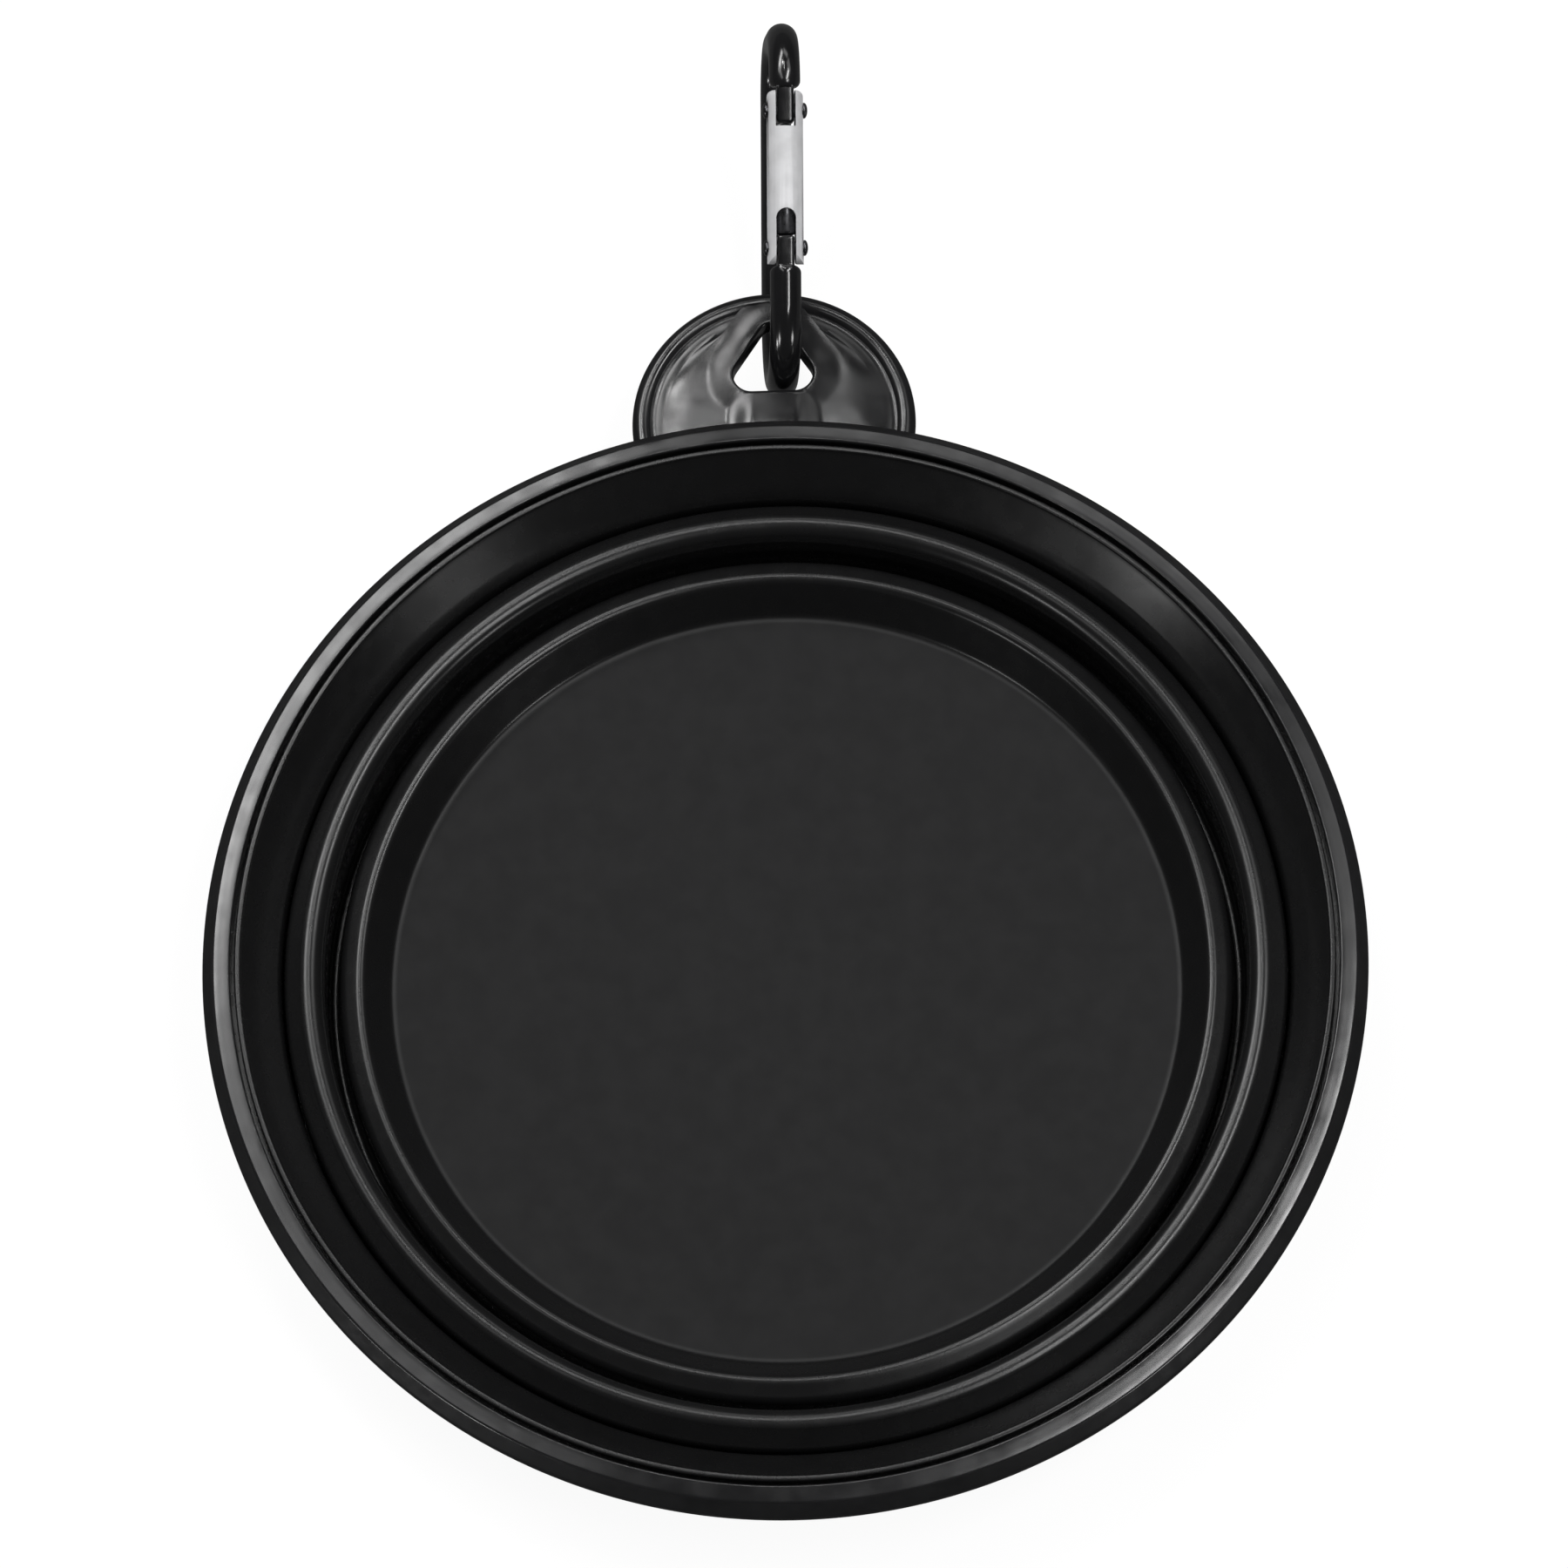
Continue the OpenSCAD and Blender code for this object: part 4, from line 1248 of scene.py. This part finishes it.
    def spring(self, sizes, hinge_x, latch_x, bow_r):
        """The coil spring between the plunger and the end of the gate's bore."""
        start = hinge_x + self.plunger_from + self.plunger_l
        end = latch_x - LATCH_TONGUE - self.tongue_room - self.bore_wall
        piece = mesh_object("gate_coil_spring", [(0, 0, 0)])
        tree = bpy.data.node_groups.get("Wound wire") or coil_tree()
        grown(piece, tree, {
            "Turns": float(sizes.turns), "Radius": self.coil_r, "Length": end - start - sizes.wire_d,
            "Wire": sizes.wire_d / 2, "Steps": self.coil_steps, "Material": finish("Dark_steel")})
        turn = Matrix.Rotation(QUARTER, 4, "Y")
        piece.data.transform(Matrix.Translation((start + sizes.wire_d / 2, bow_r, 0)) @ turn)
        outward(put_in_place(piece))
        placed(piece, "gate", "gate_spring")
        anchor = clip_place() @ Vector((end, bow_r, 0))
        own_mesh(piece)


# Stage

class BOWL_OT_stage(bpy.types.Operator):
    """Make the pale floor, the soft studio light and the camera"""
    bl_idname = "bowl.stage"
    bl_label = "Floor, lights and camera"

    camera_at = Vector((11.49, -234.52, 659.87)) * MM
    camera_aim = Vector((0.108, 25.481, 0)) * MM
    camera_roll = math.radians(-3.84)
    focal_mm = 141.52
    sensor_mm = 36
    clip_range = (0.01, 20)
    # Brightness of the surroundings, where 1 is white paper: for matt surfaces, and in reflections
    fill = 0.1
    walls_in_reflections = 0.06
    # Floor: half its side, its shade, its glow, the share of it that the camera sees, and its glow in
    # reflections
    floor_reach = 3.0
    floor_shade = 0.55
    floor_glow = 1.1
    glow_share = 0.85
    floor_in_reflections = 0.12
    # Each softbox in front or overhead: its name, its direction, distance, width, length and strength, where
    # a strength of 1 is as bright as white paper
    plain_lights = (
        ("rod_strip", (0.39, -0.28, 0.88), 1.5, 0.18, 0.42, 13.0),
        ("overhead", (0.0, 0.34, 0.94), 1.8, 0.42, 0.1, 14.0),
        ("tab_light", (-0.15, 0.43, 0.89), 1.8, 0.16, 0.16, 29.0),
        ("top_fill", (0.0, 0.0, 1.0), 1.8, 0.3, 0.3, 3.0),
        ("left_side", (-0.47, 0.335, 0.82), 2.0, 0.7, 0.8, 3.2),
        ("right_side", (0.5, 0.335, 0.8), 2.0, 0.66, 0.8, 1.5),
        ("low_left", (-0.70, -0.65, 0.28), 1.6, 0.3, 0.3, 10.0),
        ("low_right", (0.76, -0.62, 0.20), 1.6, 0.3, 0.3, 10.0),
        ("wall_glint", (-0.86, -0.51, 0.05), 1.6, 0.12, 0.22, 22.0),
    )
    # Each rim light: its name, the bearing on the rim where its reflection shows, the arc of rim that it
    # covers, the tilt of the surface that shows it, how much tilt it covers, all in degrees, and its strength
    rim_lights = (
        ("left_back", 148, 105, 9.5, 5, 9.5),
        ("right_front", -38, 75, 11.5, 3.5, 18.0),
        ("back", 62, 75, 10, 5, 2.2),
        ("left_front", 225, 60, 10, 5, 2.0),
    )
    rim_light_distance = 2.0
    # Change of tilt that shows which way a rim light's reflection runs
    tilt_step = 0.1

    def execute(self, context):
        self.camera(context)
        self.floor()
        self.world(context)
        for name, way, distance, width, length, strength in self.plain_lights:
            place = Vector(way).normalized() * distance
            self.softbox(name, place, Vector((0, 0, 1)), width, length, strength)
        for name, *angles, strength in self.rim_lights:
            self.rim_light(name, *map(math.radians, angles), strength)
        return {"FINISHED"}

    def camera(self, context):
        """The camera at the photograph's viewing angle."""
        camera = bpy.data.cameras.new("Camera")
        camera.lens, camera.sensor_width = self.focal_mm, self.sensor_mm
        camera.clip_start, camera.clip_end = self.clip_range
        holder = bpy.data.objects.new("Camera", camera)
        context.scene.collection.objects.link(holder)
        look = (self.camera_aim - self.camera_at).to_track_quat("-Z", "Y").to_matrix().to_4x4()
        roll = Matrix.Rotation(self.camera_roll, 4, "Z")
        holder.matrix_world = Matrix.Translation(self.camera_at) @ look @ roll
        context.scene.camera = holder

    def floor(self):
        """A pale floor that shows white to the camera and dim in reflections, and still takes the shadow."""
        side = self.floor_reach
        corners = [(-side, -side, 0), (side, -side, 0), (side, side, 0), (-side, side, 0)]
        piece = mesh_object("studio_floor", corners, [(0, 1, 2, 3)])
        shade = self.floor_shade
        material, main = shader("Floor", Base_Color=(shade, shade, shade, 1), Roughness=0.9)
        glow = add(material, "Emission", Strength=self.floor_glow)
        dim = add(material, "Emission", Strength=self.floor_in_reflections)
        seen = add(material, "LightPath")
        camera_share = add(material, "Math")
        camera_share.operation = "MULTIPLY"
        camera_share.inputs[1].default_value = self.glow_share
        mix, reflected = add(material, "MixShader"), add(material, "MixShader")
        wired(material.node_tree,
              (seen, "Is Camera Ray", camera_share, 0),
              (camera_share, "Value", mix, "Fac"),
              (main, "BSDF", mix, 1),
              (glow, "Emission", mix, 2),
              (seen, "Is Glossy Ray", reflected, "Fac"),
              (mix, "Shader", reflected, 1),
              (dim, "Emission", reflected, 2),
              (reflected, "Shader", material.node_tree.nodes["Material Output"], "Surface"))
        piece.data.materials.append(material)

    def world(self, context):
        """White to the camera, dark studio walls in reflections, and a dim fill for everything else."""
        world = bpy.data.worlds.new("Studio")
        context.scene.world = world
        world.use_nodes = True
        tree = world.node_tree
        seen = tree.nodes.new("ShaderNodeLightPath")
        either = tree.nodes.new("ShaderNodeMath")
        either.operation = "MAXIMUM"
        wired(tree, (seen, "Is Camera Ray", either, 0), (seen, "Is Transmission Ray", either, 1))
        white = 1.0
        shown = tree.nodes["Background"]
        shown.inputs["Color"].default_value = (self.fill, self.fill, self.fill, 1)
        layers = ((self.walls_in_reflections, seen, "Is Glossy Ray"), (white, either, "Value"))
        for level, node, share in layers:
            layer = tree.nodes.new("ShaderNodeBackground")
            layer.inputs["Color"].default_value = (level, level, level, 1)
            mix = tree.nodes.new("ShaderNodeMixShader")
            wired(tree, (node, share, mix, "Fac"), (shown, 0, mix, 1), (layer, "Background", mix, 2))
            shown = mix
        wired(tree, (shown, 0, tree.nodes["World Output"], "Surface"))
        context.scene.view_settings.view_transform = "Standard"

    def rim_light(self, name, bearing, arc, tilt, spread, strength):
        """A softbox placed where the camera sees its reflection on the rim's band."""
        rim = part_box("rim_frame")[1]
        out, up = Vector((math.cos(bearing), math.sin(bearing), 0)), Vector((0, 0, 1))
        point = out * rim.x + up * rim.z
        view = (self.camera_at - point).normalized()

        def mirrored(angle):
            facing = out * math.sin(angle) + up * math.cos(angle)
            return 2 * facing.dot(view) * facing - view

        way = mirrored(tilt)
        width = 2 * spread * self.rim_light_distance
        length = arc * math.sin(2 * tilt) * self.rim_light_distance
        self.softbox(name, point + way * self.rim_light_distance, mirrored(tilt + self.tilt_step) - way,
                     width, length, strength)

    def softbox(self, name, place, width_way, width, length, strength):
        """A soft rectangular light that faces the bowl, with its width along a given direction."""
        light = bpy.data.lights.new(name, "AREA")
        light.shape = "RECTANGLE"
        light.size, light.size_y = width, length
        light.energy = strength * math.pi * width * length
        holder = bpy.data.objects.new(name, light)
        away = place.normalized()
        across = (width_way - away * width_way.dot(away)).normalized()
        turn = Matrix((across, away.cross(across), away)).transposed().to_4x4()
        holder.matrix_world = Matrix.Translation(place) @ turn
        bpy.context.scene.collection.objects.link(holder)


# Panel and registration

class BOWL_PT_pieces(bpy.types.Panel):
    """Lists the bowl's pieces in the sidebar"""
    bl_idname = "BOWL_PT_pieces"
    bl_label = "Collapsible Bowl"
    bl_space_type = "VIEW_3D"
    bl_region_type = "UI"
    bl_category = "Bowl"

    def draw(self, context):
        for operator in OPERATORS:
            self.layout.operator(operator.bl_idname)


GROUPS = {"bowl_sizes": BowlSizes, "tab_sizes": TabSizes, "clip_sizes": ClipSizes, "finishes": Finishes}
OPERATORS = (BOWL_OT_stage, BOWL_OT_silicone, BOWL_OT_rim_frame, BOWL_OT_clip_body, BOWL_OT_gate)


def register():
    """Registers the classes and hangs the groups of sizes and colours on the scene."""
    for kind in (*GROUPS.values(), *OPERATORS, BOWL_PT_pieces):
        bpy.utils.register_class(kind)
    for name, group in GROUPS.items():
        setattr(bpy.types.Scene, name, bpy.props.PointerProperty(type=group))


def unregister():
    """Takes the groups off the scene and drops the classes."""
    for name in GROUPS:
        delattr(bpy.types.Scene, name)
    for kind in (BOWL_PT_pieces, *reversed(OPERATORS), *reversed(GROUPS.values())):
        bpy.utils.unregister_class(kind)


def main():
    """Makes every piece in order."""
    register()
    for operator in OPERATORS:
        group, name = operator.bl_idname.split(".")
        getattr(getattr(bpy.ops, group), name)()
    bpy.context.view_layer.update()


if __name__ == "__main__":
    main()
